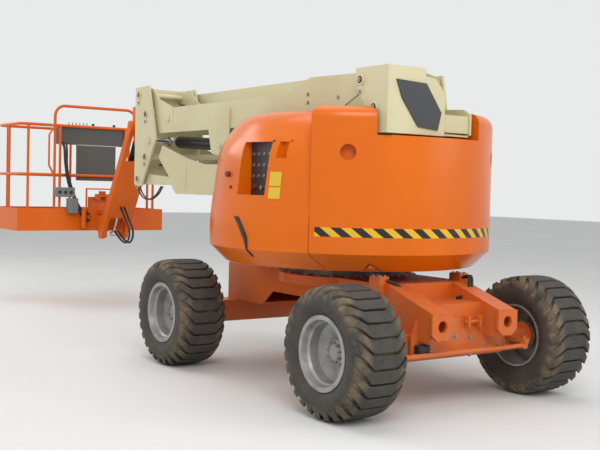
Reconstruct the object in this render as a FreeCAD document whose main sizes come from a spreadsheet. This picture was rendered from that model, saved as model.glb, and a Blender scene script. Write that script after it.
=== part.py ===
"""Articulating boom lift on four wheels, at its real size in millimetres.

Frame: +X forward towards the platform, +Y to the machine's left, +Z up. The origin is on
the ground under the turntable's slewing axis, half way between the axles.

The machine is built from the ground up: chassis, axles and wheels, turntable with its
hoods and counterweight, the two-arm tower, the main boom, the jib and the platform.
"""
import FreeCAD, Part
import math
import os
import Sketcher
from FreeCAD import Placement, Rotation, Vector

doc = FreeCAD.newDocument("boom_lift")
sheet = doc.addObject("Spreadsheet::Sheet", "Sizes")

# Driving sizes: name, value in mm or degrees, what it measures.
SIZES = [
    ("wheelbase", 2130, "axle to axle"),
    ("track", 1700, "tyre centre to tyre centre"),
    ("tyre_radius", 419, "over the lugs"),
    ("tyre_width", 394, "over the sidewalls"),
    ("lug_height", 26, "tread bar above the carcass"),
    ("lug_width", 76, "tread bar in the crown, measured round the tyre"),
    ("lug_end", 46, "tread bar at the shoulder, measured round the tyre"),
    ("lug_sweep", 39, "how far a bar's ends trail its middle"),
    ("lug_straight", 112, "straight part of a bar, to each side of the middle"),
    ("lug_count", 28, "tread bars on a tyre"),
    ("rim_radius", 222, "bead seat"),
    ("rim_flange", 14, "flange above the bead seat"),
    ("rim_wall", 14, "rolled rim and disc"),
    ("hub_radius", 82, "hub in the disc"),
    ("hub_proud", 62, "hub past the wheel's middle plane"),
    ("hub_back", 60, "hub's back face behind the middle plane"),
    ("running_gap", 0.3, "faces that turn on each other"),
    ("pin_gap", 0.5, "round a pin"),
    ("moving_gap", 5, "between moving pieces"),
    ("frame_half", 370, "chassis frame, half its width"),
    ("frame_tail", 30, "chassis frame past the axle beams"),
    ("frame_corner", 60, "chassis frame's cut corners in front"),
    ("frame_low", 500, "chassis frame, underside"),
    ("frame_high", 800, "chassis frame, top deck"),
    ("frame_wall", 16, "chassis plates"),
    ("arch_rise", 120, "frame's raised underside between the axles"),
    ("arch_half", 470, "frame's raised underside, half its length"),
    ("arch_slope", 150, "slope at the ends of the raised underside"),
    ("beam_run", 290, "sloping rear beams in front of the end plate"),
    ("beam_reach", 160, "rear beams behind the end plate"),
    ("beam_fall", 145, "how far the rear beams' tops slope down"),
    ("beam_inner", 220, "rear beams' inner faces from the middle"),
    ("beam_wall", 12, "rear beams' plates"),
    ("pan_high", 690, "sunk deck between the rear beams"),
    ("ear_half", 90, "tie-down plates, half their width"),
    ("ear_thick", 24, "tie-down plates"),
    ("ear_z", 575, "tie-down holes"),
    ("ear_bore", 38, "tie-down holes, radius"),
    ("shield_half", 417, "rear shield plate, half its width"),
    ("shield_low", 350, "rear shield plate, lower edge"),
    ("block_x", 815, "lock-out blocks behind the axis"),
    ("block_high", 850, "lock-out blocks, top"),
    ("axle_low", 330, "axle beams, underside"),
    ("axle_half", 95, "axle beams, half their width"),
    ("axle_end", 455, "steer axle beam, past the middle"),
    ("kingpin_y", 560, "kingpin from the middle"),
    ("kingpin_radius", 26, "kingpin"),
    ("knuckle_half", 62, "steering knuckle, half its height"),
    ("steer_arm", 210, "steering arm, kingpin to tie rod"),
    ("steer_arm_half", 16, "steering arm, half its thickness"),
    ("tie_radius", 16, "tie rod"),
    ("tie_end_half", 18, "tie rod's end, half its height"),
    ("ring_radius", 430, "slewing ring, outside"),
    ("ring_bore", 300, "slewing ring, inside"),
    ("ring_high", 880, "slewing ring, top"),
    ("deck_inset", 150, "turntable deck inside the body's round"),
    ("deck_thick", 24, "turntable deck plate"),
    ("body_radius", 1050, "hoods and counterweight"),
    ("body_slope", 120, "how far the lower edge slopes in"),
    ("body_low", 885, "hoods and counterweight, lower edge"),
    ("body_knee", 1000, "where the lower edge's slope ends"),
    ("body_high", 1975, "hoods and counterweight, top"),
    ("body_round", 80, "counterweight's rounded top edge"),
    ("dome_low", 1150, "where the hoods begin to draw in"),
    ("hood_wall", 18, "hood panel"),
    ("hinge_z", 1925, "hood hinges"),
    ("window_left", 320, "left hood's window behind the axis, its rear edge"),
    ("window_right", 50, "left hood's window behind the axis, its front edge"),
    ("window_low", 1372, "left hood's window, sill"),
    ("window_high", 1735, "left hood's window, top"),
    ("seam_inset", 410, "counterweight's front face inside the body's round"),
    ("seam_gap", 6, "seam between hood and counterweight"),
    ("left_hood_y", 505, "left hood's inner edge"),
    ("right_hood_y", 345, "right hood's inner edge"),
    ("notch_floor", 1785, "counterweight's floor under the upright"),
    ("recess_radius", 52, "counterweight's lifting recesses"),
    ("recess_depth", 60, "counterweight's lifting recesses"),
    ("recess_z", 1668, "counterweight's lifting recesses"),
    ("recess_turn", 141, "lifting recesses, degrees round from the front"),
    ("engine_x", 700, "engine, along the machine"),
    ("engine_inset", 280, "engine's outer face inside the body's round"),
    ("engine_high", 1560, "engine, top"),
    ("tank_x", 340, "oil tank, along the machine"),
    ("tank_gap", 100, "valve bank to oil tank"),
    ("tank_step", 142, "oil tank's outer face inside the valve bank's"),
    ("tank_high", 1480, "oil tank, top"),
    ("valve_high", 1640, "valve bank, top"),
    ("tower_left", 480, "uprights, left face"),
    ("tower_right", 30, "uprights, right face past the middle plane"),
    ("upright_plate", 20, "uprights' side plates"),
    ("arm_inset", 45, "arms' sides inside the uprights' faces"),
    ("arm_plate", 12, "arms' plates"),
    ("pin_radius", 25, "tower pins"),
    ("lobe_radius", 54, "arm ends round their pins"),
    ("mid_x", 2670, "mid upright's arm pins"),
    ("mid_face", 2745, "mid upright's front face"),
    ("upper_pin_z", 2280, "upper arm's front pin"),
    ("lower_pin_z", 1480, "lower arm's front pin"),
    ("link_back", 150, "link pins behind the arm pins"),
    ("upper_link_drop", 190, "upper link pins below the arm pins"),
    ("lower_link_rise", 210, "lower link pins above the arm pins"),
    ("tail_x", 700, "upper arm's rear pin behind the axis"),
    ("tail_pin_z", 2160, "upper arm's rear pin"),
    ("root_inset", 430, "lower arm's rear pin inside the body's round"),
    ("root_pin_z", 1440, "lower arm's rear pin"),
    ("link_half", 25, "tower links, half their depth"),
    ("link_eye", 40, "tower links' eyes"),
    ("upper_low", 1905, "upper arm, underside"),
    ("upper_high", 2130, "upper arm, top"),
    ("lower_low", 1350, "lower arm, underside"),
    ("lower_high", 1610, "lower arm, top"),
    ("apex_x", 2310, "mid upright's rear corner"),
    ("apex_z", 1850, "mid upright's rear corner"),
    ("tail_face", 980, "tail upright's rear face behind the axis"),
    ("tail_high", 2240, "tail upright, top"),
    ("tail_low", 1800, "tail upright, underside"),
    ("bracket_x", 1200, "tower cylinder's rear pin"),
    ("bracket_z", 1770, "tower cylinder's rear pin"),
    ("tower_eye_x", 2450, "tower cylinder's eye"),
    ("tower_eye_z", 1840, "tower cylinder's eye"),
    ("tower_barrel", 55, "tower cylinder, radius"),
    ("boom_y", 165, "boom's middle plane, right of the axis"),
    ("boom_width", 230, "main boom"),
    ("boom_low", 2080, "main boom, underside"),
    ("boom_high", 2310, "main boom, top"),
    ("boom_wall", 10, "main boom"),
    ("boom_root_x", 600, "main boom's pivot behind the axis"),
    ("boom_root_z", 2195, "main boom's pivot"),
    ("boom_front", 3160, "main boom's mouth"),
    ("fly_width", 190, "fly boom, square"),
    ("fly_back", 450, "fly boom's rear end behind the axis"),
    ("fly_front", 3700, "fly boom's nose"),
    ("fly_wall", 8, "fly boom"),
    ("lift_foot_x", 500, "lift cylinder's foot behind the axis"),
    ("lift_foot_z", 1850, "lift cylinder's foot"),
    ("lift_eye_x", 350, "lift cylinder's eye"),
    ("lift_eye_z", 2010, "lift cylinder's eye"),
    ("lift_barrel", 42, "lift cylinder, radius"),
    ("level_x", 3780, "levelling pivot on the nose"),
    ("level_z", 2030, "levelling pivot on the nose"),
    ("jib_x", 3900, "jib's upper pin"),
    ("jib_z", 2060, "jib's upper pin"),
    ("jib_run", 742, "jib, forwards"),
    ("jib_drop", 1215, "jib, downwards"),
    ("jib_link_rise", 180, "jib link's pins above the jib's pins"),
    ("jib_bar_y", 138, "jib bars from the boom's middle plane"),
    ("jib_bar_width", 50, "jib bars"),
    ("jib_bar_half", 45, "jib bars, half their depth"),
    ("jib_pin", 22, "jib pins, radius"),
    ("jib_barrel", 32, "jib cylinder, radius"),
    ("turn_x", 4842, "platform's turning axis"),
    ("turn_radius", 55, "rotator's column"),
    ("turn_post", 28, "post in the rotator"),
    ("platform_x", 5025, "platform's near side"),
    ("platform_y", 75, "platform's middle plane, right of the axis"),
    ("platform_depth", 760, "platform, front to back"),
    ("platform_width", 1830, "platform, side to side"),
    ("floor_low", 865, "toe boards, lower edge"),
    ("floor_rise", 55, "platform floor above the boards' lower edge"),
    ("floor_thick", 40, "platform floor"),
    ("toe_high", 1125, "toe boards, top"),
    ("toe_board", 6, "toe boards"),
    ("rail_high", 2090, "top rail"),
    ("rail_mid", 1516, "middle rail"),
    ("rail_radius", 17, "platform rails"),
    ("post_corner", 100, "corner posts from the rails' corners"),
    ("post_inner", 480, "inner near posts from the rails' corners"),
    ("hoop_high", 2320, "hoop over the console"),
    ("hoop_left", 400, "hoop's left leg, left of the axis"),
    ("hoop_right", 620, "hoop's right leg, right of the axis"),
    ("console_left", 316, "console, left end"),
    ("console_right", 510, "console, right end"),
    ("console_low", 1880, "console, underside"),
    ("console_high", 2107, "console, top"),
]


class Size:
    """A number together with the sheet formula that gives it."""

    def __init__(self, value, formula):
        self.value = value
        self.formula = formula

    def mix(self, sign, other, turned=False):
        first, second = (other, self) if turned else (self, other)
        a, b = number(first), number(second)
        value = {"+": a + b, "-": a - b, "*": a * b, "/": a / b if b else 0}[sign]
        return Size(value, "(%s %s %s)" % (formula(first), sign, formula(second)))

    def __add__(self, other):
        return self.mix("+", other)

    def __radd__(self, other):
        return self.mix("+", other, True)

    def __sub__(self, other):
        return self.mix("-", other)

    def __rsub__(self, other):
        return self.mix("-", other, True)

    def __mul__(self, other):
        return self.mix("*", other)

    def __rmul__(self, other):
        return self.mix("*", other, True)

    def __truediv__(self, other):
        return self.mix("/", other)

    def __neg__(self):
        return self.mix("*", -1)


def number(size):
    return size.value if isinstance(size, Size) else float(size)


def formula(size):
    return size.formula if isinstance(size, Size) else repr(float(size))


class Names:
    """Every size in the sheet as an attribute of its own."""


d = Names()
for row, (name, value, meaning) in enumerate(SIZES, start=1):
    sheet.set("A%d" % row, name)
    sheet.set("B%d" % row, str(value))
    sheet.set("C%d" % row, meaning)
    sheet.setAlias("B%d" % row, name)
    setattr(d, name, Size(float(value), "Sizes." + name))
doc.recompute()


def bind(thing, path, size):
    """Sets a property and ties it to the sheet when the size comes from there."""
    if "." not in path:
        setattr(thing, path, number(size))
    if isinstance(size, Size):
        thing.setExpression(path, size.formula)


def place(thing, base, turn=Rotation()):
    thing.Placement = Placement(Vector(*[number(size) for size in base]), turn)
    for axis, size in zip("xyz", base):
        bind(thing, "Placement.Base." + axis, size)
    return thing


# Each sketch plane: the axis it is offset along, and the sketch's own turn.
PLANES = {
    "XY": ("z", Vector(0, 0, 1), Rotation()),
    "XZ": ("y", Vector(0, 1, 0), Rotation(Vector(1, 0, 0), 90)),
    "YZ": ("x", Vector(1, 0, 0), Rotation(Vector(0, 1, 0), Vector(0, 0, 1), Vector(1, 0, 0))),
}
ALONG = {
    "X": Rotation(Vector(0, 0, 1), Vector(1, 0, 0)),
    "Y": Rotation(Vector(0, 0, 1), Vector(0, 1, 0)),
    "Z": Rotation(),
}


def draw(sketch, outline):
    """A closed outline of straight edges, every corner tied to the sheet."""
    corners = [Vector(number(u), number(v), 0) for u, v in outline]
    count = len(corners)
    first = sketch.GeometryCount
    sketch.addGeometry([Part.LineSegment(corners[i], corners[(i + 1) % count])
                        for i in range(count)])
    rules = [Sketcher.Constraint("Coincident", first + i, 2, first + (i + 1) % count, 1)
             for i in range(count)]
    start = sketch.ConstraintCount
    for i, corner in enumerate(corners):
        rules.append(Sketcher.Constraint("DistanceX", -1, 1, first + i, 1, corner.x))
        rules.append(Sketcher.Constraint("DistanceY", -1, 1, first + i, 1, corner.y))
    sketch.addConstraint(rules)
    for i, pair in enumerate(outline):
        for j, size in enumerate(pair):
            if isinstance(size, Size):
                rule = start + count + 2 * i + j
                sketch.setExpression("Constraints[%d]" % rule, size.formula)


def plate(label, plane, low, high, outline):
    """An outline in a plane, given thickness from low to high along the plane's normal."""
    axis, normal, turn = PLANES[plane]
    sketch = doc.addObject("Sketcher::SketchObject", label + "_outline")
    base = [low if name == axis else 0 for name in "xyz"]
    place(sketch, base, turn)
    draw(sketch, outline)
    solid = doc.addObject("Part::Extrusion", label)
    solid.Base = sketch
    solid.DirMode = "Custom"
    solid.Dir = normal
    solid.Solid = True
    bind(solid, "LengthFwd", high - low)
    return solid


def box(label, x, y, z):
    solid = doc.addObject("Part::Box", label)
    for name, (low, high) in zip(("Length", "Width", "Height"), (x, y, z)):
        bind(solid, name, high - low)
    return place(solid, [x[0], y[0], z[0]])


def rod(label, axis, radius, low, high, centre):
    """A round bar along one axis; centre gives the other two coordinates in order."""
    solid = doc.addObject("Part::Cylinder", label)
    bind(solid, "Radius", radius)
    bind(solid, "Height", high - low)
    base = list(centre)
    base.insert("XYZ".index(axis), low)
    return place(solid, base, ALONG[axis])


def slant(label, radius, start, end, first, last, y):
    """A round bar on the line from start to end in XZ, from first to last along it."""
    run = Vector(number(end[0]) - number(start[0]), 0, number(end[1]) - number(start[1]))
    unit = Vector(run).normalize()
    solid = doc.addObject("Part::Cylinder", label)
    bind(solid, "Radius", radius)
    solid.Height = number(last) - number(first)
    base = Vector(number(start[0]), number(y), number(start[1])) + unit * number(first)
    solid.Placement = Placement(base, Rotation(Vector(0, 0, 1), unit))
    return solid


def span(start, end):
    return math.hypot(number(end[0]) - number(start[0]), number(end[1]) - number(start[1]))


def fuse(label, parts):
    solid = doc.addObject("Part::MultiFuse", label)
    solid.Shapes = list(parts)
    solid.Refine = True
    return solid


def cut(label, base, tools):
    solid = doc.addObject("Part::Cut", label)
    solid.Base = base
    solid.Tool = tools[0] if len(tools) == 1 else fuse(label + "_holes", tools)
    solid.Refine = True
    return solid


def feature(label, shape):
    solid = doc.addObject("Part::Feature", label)
    solid.Shape = shape
    return solid


nodes = []


def node(solid):
    nodes.append(solid)
    return solid


# Wheels: one tyre and one rim are modelled at the origin, then set out four times.

wheel_y = d.track / 2
WHEELS = [
    # name, X of the axle, side
    ("front_left", d.wheelbase / 2, 1),
    ("front_right", d.wheelbase / 2, -1),
    ("rear_left", d.wheelbase / -2, 1),
    ("rear_right", d.wheelbase / -2, -1),
]


def origin_plane(body, role):
    return [part for part in body.Origin.OriginFeatures if part.Role == role][0]


def body_sketch(body, name, role, outline, offset=None):
    sketch = body.newObject("Sketcher::SketchObject", name)
    sketch.AttachmentSupport = [(origin_plane(body, role), "")]
    sketch.MapMode = "FlatFace"
    if offset is not None:
        sketch.AttachmentOffset = Placement(Vector(0, 0, number(offset)), Rotation())
        sketch.setExpression("AttachmentOffset.Base.z", formula(offset))
    draw(sketch, outline)
    return sketch


def turned(body, kind, name, sketch):
    part = body.newObject("PartDesign::" + kind, name)
    part.Profile = sketch
    part.ReferenceAxis = (origin_plane(body, "Y_Axis"), [""])
    part.Angle = 360
    return part


def tyre_body():
    """Carcass, tread bars in a ring, and a groove that rounds the bars to the crown."""
    half = d.tyre_width / 2
    carcass = d.tyre_radius - d.lug_height
    body = doc.addObject("PartDesign::Body", "tyre_pattern")
    seat = d.rim_radius + d.running_gap
    # The sketch plane YZ holds Y across the tyre and Z up its radius.
    section = body_sketch(body, "tyre_section", "YZ_Plane", [
        (-half + 44, seat), (-half, seat + 70), (-half + 8, carcass - 32), (-half + 42, carcass),
        (half - 42, carcass), (half - 8, carcass - 32), (half, seat + 70), (half - 44, seat)])
    turned(body, "Revolution", "tyre_carcass", section)
    straight, bar, tip, end = d.lug_straight, d.lug_width / 2, d.lug_sweep, d.lug_end / 2
    lug = body_sketch(body, "tyre_bar_outline", "XY_Plane", [
        (-bar, -straight), (-bar, straight), (tip - end, half), (tip + end, half),
        (bar, straight + end), (bar, -straight - end), (tip + end, -half), (tip - end, -half)],
        carcass - 40)
    pad = body.newObject("PartDesign::Pad", "tyre_bar")
    pad.Profile = lug
    bind(pad, "Length", d.lug_height + 60)
    ring = body.newObject("PartDesign::PolarPattern", "tyre_bars")
    ring.Originals = [pad]
    ring.Axis = (origin_plane(body, "Y_Axis"), [""])
    ring.Angle = 360
    ring.Occurrences = int(number(d.lug_count))
    ring.setExpression("Occurrences", formula(d.lug_count))
    body.Tip = ring
    crown = body_sketch(body, "tyre_crown_section", "YZ_Plane", [
        (-half - 30, d.tyre_radius + 60), (-half - 30, carcass - 70), (-half, carcass - 62),
        (-half, carcass - 20), (-half + 48, d.tyre_radius), (half - 48, d.tyre_radius),
        (half, carcass - 20), (half, carcass - 62), (half + 30, carcass - 70),
        (half + 30, d.tyre_radius + 60)])
    turned(body, "Groove", "tyre_crown", crown)
    return body


def rim_body():
    """Rolled rim with two flanges, a dished disc and the hub, outer side at +Y."""
    half = d.tyre_width / 2 - 44 + d.rim_flange * 0.65 + 1
    seat = d.rim_radius
    body = doc.addObject("PartDesign::Body", "rim_pattern")
    inside = seat - d.rim_wall
    lip = seat + d.rim_flange
    disc = d.hub_proud - 30
    section = body_sketch(body, "rim_section", "YZ_Plane", [
        (-half, inside), (-half, seat), (half, seat), (half, lip), (half + 12, lip),
        (half + 12, inside), (half - 26, inside - 10), (half - 40, inside - 22),
        (disc + 30, inside - 26), (disc + 8, d.hub_radius + 40), (disc, d.hub_radius),
        (d.hub_proud, d.hub_radius), (d.hub_proud + 14, 44), (d.hub_proud + 14, 2),
        (-d.hub_back, 2), (-d.hub_back, d.hub_radius + 12), (disc - 30, d.hub_radius + 12),
        (disc - 10, d.hub_radius + 40), (disc + 10, inside)])
    turned(body, "Revolution", "rim_turned", section)
    return body


def wheels():
    tyre = tyre_body()
    rim = rim_body()
    doc.recompute()
    for name, x, side in WHEELS:
        for kind, pattern in (("tyre", tyre), ("rim", rim)):
            shape = pattern.Shape.copy()
            if side < 0:
                shape = shape.mirror(Vector(), Vector(0, 1, 0))
            part = node(feature("%s_%s" % (kind, name), shape))
            place(part, [x, side * wheel_y, d.tyre_radius])


# Chassis: box frame, fixed drive axle, steer axle with knuckles and a tie rod.

rear_x = d.wheelbase / -2
front_x = d.wheelbase / 2
hub_face = wheel_y - d.hub_back - d.running_gap


frame_reach = d.wheelbase / 2 + d.axle_half + d.frame_tail


def chassis_frame():
    """Plate box over the axles; its rear ends in two sloping beams with tie-down holes."""
    half, reach, corner = d.frame_half, frame_reach, d.frame_corner
    low, high, wall = d.frame_low, d.frame_high, d.frame_wall
    arch, waist = low + d.arch_rise, d.arch_half
    skid = waist + d.arch_slope
    tail = d.beam_run - reach
    end = -reach - d.beam_reach
    parts = [plate("frame_deck", "XY", high - wall, high, [
        (tail, -half), (reach - corner, -half), (reach, corner - half), (reach, half - corner),
        (reach - corner, half), (tail, half)])]
    beam = [(tail, high), (end, high - d.beam_fall), (end, low + 5), (end + 40, low - 30),
            (-reach, low - 30), (-reach, low)]
    outer = beam + [(-skid, low), (-waist, arch), (waist, arch), (skid, low),
                    (reach - corner, low), (reach - corner, high)]
    inner = beam + [(tail, low)]
    crest = [(tail, high - d.beam_wall), (tail, high), (end, high - d.beam_fall),
             (end, high - d.beam_fall - d.beam_wall)]
    for name, side in (("left", 1), ("right", -1)):
        for kind, face, thick, outline in (
                ("side", half, -wall, outer),
                ("beam", d.beam_inner, d.beam_wall, inner),
                ("crest", half, d.beam_inner - half, crest)):
            edges = sorted((side * face, side * (face + thick)), key=number)
            parts.append(plate("frame_%s_%s" % (kind, name), "XZ", edges[0], edges[1], outline))
        parts.append(plate("frame_corner_" + name, "XY", low, high - wall, [
            (reach - corner, side * half), (reach, side * (half - corner)),
            (reach - wall, side * (half - corner)), (reach - corner, side * (half - wall))]))
        y = side * (half + d.beam_inner) / 2
        z = d.ear_z
        ear = plate("frame_ear_" + name, "YZ", end - d.ear_thick / 2, end + d.ear_thick / 2, [
            (y - d.ear_half, z + 75), (y + d.ear_half, z + 75), (y + d.ear_half, z - 50),
            (y + d.ear_half / 2, z - 90), (y - d.ear_half / 2, z - 90), (y - d.ear_half, z - 50)])
        hole = rod("frame_hole_" + name, "X", d.ear_bore, end - d.ear_thick, end + d.ear_thick,
                   (y, z))
        parts.append(cut("frame_ear_bored_" + name, ear, [hole]))
        block_y = sorted((side * (half - 40), side * (half + 40)), key=number)
        parts.append(box("frame_block_" + name, (-d.block_x - 55, -d.block_x + 55),
                         (block_y[0], block_y[1]), (high - 100, d.block_high)))
    across = (-d.beam_inner - d.beam_wall, d.beam_inner + d.beam_wall)
    parts.append(box("frame_pan", (-reach, tail), across, (d.pan_high - d.beam_wall, d.pan_high)))
    parts.append(box("frame_floor_rear", (-reach, -skid), (-half, half), (low, low + wall)))
    parts.append(box("frame_floor_front", (skid, reach - corner), (-half, half),
                     (low, low + wall)))
    parts.append(box("frame_end_rear", (-reach, -reach + wall), across, (low - 60, d.pan_high)))
    parts.append(box("frame_end_front", (reach - wall, reach), (corner - half, half - corner),
                     (low, high - wall)))
    parts.append(plate("frame_shield", "YZ", -reach - wall, -reach, [
        (-d.shield_half, d.shield_low), (d.shield_half, d.shield_low), (d.shield_half, low),
        (half, low + 100), (-half, low + 100), (-d.shield_half, low)]))
    for name, x, foot in (("a", tail, low), ("b", -waist, arch), ("c", waist - wall, arch),
                          ("d", reach - corner - wall, low)):
        parts.append(box("frame_web_" + name, (x, x + wall), (-half + wall, half - wall),
                         (foot, high - wall)))
    rim = rod("frame_skirt_disc", "Z", d.ring_radius + 90, high - 70, high, (0, 0))
    inside = rod("frame_skirt_bore", "Z", d.ring_radius + 70, high - 71, high + 1, (0, 0))
    parts.append(cut("frame_skirt", rim, [inside]))
    parts.append(rod("frame_skirt_top", "Z", d.ring_radius + 90, high - wall, high, (0, 0)))
    return node(fuse("chassis_frame", parts))


def axles():
    """Drive axle at the front, bolted under the frame; oscillating steer axle behind."""
    top = d.frame_low
    half = d.axle_half
    beam = box("drive_beam", (front_x - half, front_x + half), (-hub_face + 130, hub_face - 130),
               (d.axle_low, top))
    ends = []
    for name, side in (("left", 1), ("right", -1)):
        low, high = (hub_face - 130, hub_face) if side > 0 else (-hub_face, -hub_face + 130)
        ends.append(rod("drive_end_" + name, "Y", 105, low, high, (front_x, d.tyre_radius)))
    node(fuse("drive_axle", [beam] + ends))

    beam = box("steer_beam", (rear_x - half, rear_x + half), (-d.axle_end, d.axle_end),
               (d.axle_low, top))
    forks = []
    pins = []
    jaw = d.knuckle_half + d.moving_gap
    for name, side in (("left", 1), ("right", -1)):
        y = side * d.kingpin_y
        inner, outer = ((d.axle_end, y + 50) if side > 0 else (y - 50, -d.axle_end))
        for level, low, high in (("low", d.axle_low, d.tyre_radius - jaw),
                                 ("high", d.tyre_radius + jaw, top)):
            forks.append(box("steer_fork_%s_%s" % (level, name), (rear_x - 60, rear_x + 60),
                             (inner, outer), (low, high)))
        pins.append(rod("kingpin_" + name, "Z", d.kingpin_radius, d.axle_low - 8, top - 2,
                        (rear_x, y)))
    node(fuse("steer_axle", [beam] + forks + pins))

    for name, side in (("left", 1), ("right", -1)):
        y = side * d.kingpin_y
        low, high = d.tyre_radius - d.knuckle_half, d.tyre_radius + d.knuckle_half
        block = rod("knuckle_block_" + name, "Z", 56, low, high, (rear_x, y))
        face = side * hub_face
        edges = sorted((y, face), key=number)
        stub = rod("knuckle_stub_" + name, "Y", 50, edges[0], edges[1], (rear_x, d.tyre_radius))
        flange = sorted((face, face - side * 24), key=number)
        disc = rod("knuckle_flange_" + name, "Y", 88, flange[0], flange[1],
                   (rear_x, d.tyre_radius))
        arm_y = sorted((y - side * 22, y + side * 22), key=number)
        thick = d.steer_arm_half
        arm = box("knuckle_arm_" + name, (rear_x - d.steer_arm - 26, rear_x - 40),
                  (arm_y[0], arm_y[1]), (d.tyre_radius - thick, d.tyre_radius + thick))
        bolt = rod("knuckle_bolt_" + name, "Z", 13, d.tyre_radius, d.tyre_radius + thick + 18,
                   (rear_x - d.steer_arm, y))
        bore = rod("knuckle_bore_" + name, "Z", d.kingpin_radius + d.pin_gap, low - 1, high + 1,
                   (rear_x, y))
        solid = fuse("knuckle_solid_" + name, [block, stub, disc, arm, bolt])
        node(cut("knuckle_" + name, solid, [bore]))


def tie_rod():
    """Steering bar across the machine; its ends lie under the knuckles' arms."""
    x = rear_x - d.steer_arm
    z = d.tyre_radius - d.steer_arm_half - d.running_gap - d.tie_end_half
    reach = d.kingpin_y
    bar = rod("tie_bar", "Y", d.tie_radius, -reach, reach, (x, z))
    ends = [rod("tie_end_%d" % side, "Z", 26, z - d.tie_end_half, z + d.tie_end_half,
                (x, side * reach)) for side in (1, -1)]
    node(fuse("tie_rod", [bar] + ends))


def slew_ring():
    ring = rod("ring_disc", "Z", d.ring_radius, d.frame_high, d.ring_high, (0, 0))
    bore = rod("ring_hole", "Z", d.ring_bore, d.frame_high - 1, d.ring_high + 1, (0, 0))
    node(cut("slew_ring", ring, [bore]))


# Turntable: deck with the tower's root plates, counterweight, hoods and what they cover.

deck_low = d.ring_high + d.running_gap
deck_high = deck_low + d.deck_thick
deck_radius = d.body_radius - d.deck_inset
body_foot = d.body_radius - d.body_slope
seam_x = d.seam_inset - d.body_radius
past = d.body_radius + 150
left_face, right_face = d.tower_left, -d.tower_right
root = (d.root_inset - d.body_radius, d.root_pin_z)
root_link = (root[0] - d.link_back, root[1] + d.lower_link_rise)
root_back = root_link[0] - 70
hood_post = 120
# Hinge lugs on the hood rails, and the sleeves between them: X of each one's rear end.
HOOD_LUGS = (-460, -250, 80)
HOOD_SLEEVES = (-420, -20)


def turntable_frame():
    """Deck disc, the tower's root plates with their pins, and the rails the hoods hinge on."""
    deck = rod("deck_disc", "Z", deck_radius, deck_low, deck_high, (0, 0))
    plates = []
    for name, low in (("left", left_face - d.upright_plate), ("right", right_face)):
        plates.append(plate("root_plate_" + name, "XZ", low, low + d.upright_plate, [
            (root_back, deck_high), (root_back, root_link[1] + 60),
            (root_link[0] + 70, root_link[1] + 60), (root[0] + 75, root[1] + 90),
            (root[0] + 75, root[1] - 60), (root[0] + 320, deck_high)]))
    web = box("root_web", (root_back, root_back + 16), (right_face, left_face),
              (deck_high, root_link[1] - 90))
    pins = [rod("root_pin_arm", "Y", d.pin_radius, right_face - 8, left_face + 8, root),
            rod("root_pin_link", "Y", d.pin_radius, right_face - 8, left_face + 8, root_link)]
    rails = []
    high = d.hinge_z - 45
    for name, side, y in (("left", 1, d.left_hood_y), ("right", -1, d.right_hood_y)):
        edges = sorted((side * y, side * (y + 40)), key=number)
        rails.append(box("hood_post_" + name, (hood_post, hood_post + 40), (edges[0], edges[1]),
                         (deck_high, high)))
        rails.append(box("hood_rail_" + name, (seam_x + 80, hood_post + 40),
                         (edges[0], edges[1]), (high - 30, high)))
        rails.append(box("hood_stay_" + name, (seam_x + 80, seam_x + 110), (edges[0], edges[1]),
                         (deck_high, high)))
        axis_y = side * (y + 20)
        for i, x in enumerate(HOOD_LUGS):
            rails.append(box("hood_lug_%s_%d" % (name, i), (x, x + 24),
                             (axis_y - 10, axis_y + 10), (high, d.hinge_z + 10)))
        rails.append(rod("hood_pin_" + name, "X", 8, HOOD_LUGS[0], HOOD_LUGS[-1] + 24,
                         (axis_y, d.hinge_z)))
    return node(fuse("turntable_frame", [deck] + plates + [web] + pins + rails))


def turned_solid(label, edges):
    """A closed half outline in XZ, turned about the slewing axis."""
    face = Part.Face(Part.Wire(edges))
    return feature(label, face.revolve(Vector(), Vector(0, 0, 1), 360))


def joined(points):
    return [Part.LineSegment(a, b).toShape() for a, b in zip(points, points[1:])]


def weight_round(label):
    """The counterweight's round outline: sloped foot, upright wall and a tight top edge."""
    r, top, corner = number(d.body_radius), number(d.body_high), number(d.body_round)
    diagonal = math.sqrt(0.5)
    rise = Vector(r - corner + corner * diagonal, 0, top - corner + corner * diagonal)
    axis = Vector(0, 0, number(d.body_low))
    wall = [axis, Vector(number(body_foot), 0, axis.z), Vector(r, 0, number(d.body_knee)),
            Vector(r, 0, top - corner)]
    crown = Vector(r - corner, 0, top)
    return turned_solid(label, joined(wall) + [Part.Arc(wall[-1], rise, crown).toShape()] +
                        joined([crown, Vector(0, 0, top), axis]))


# The hoods' soft outline: share of the body's radius, and how far below their top.
DOME = [(0.976, 555), (0.952, 355), (0.924, 245), (0.876, 165), (0.790, 60), (0.660, 10)]


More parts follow.
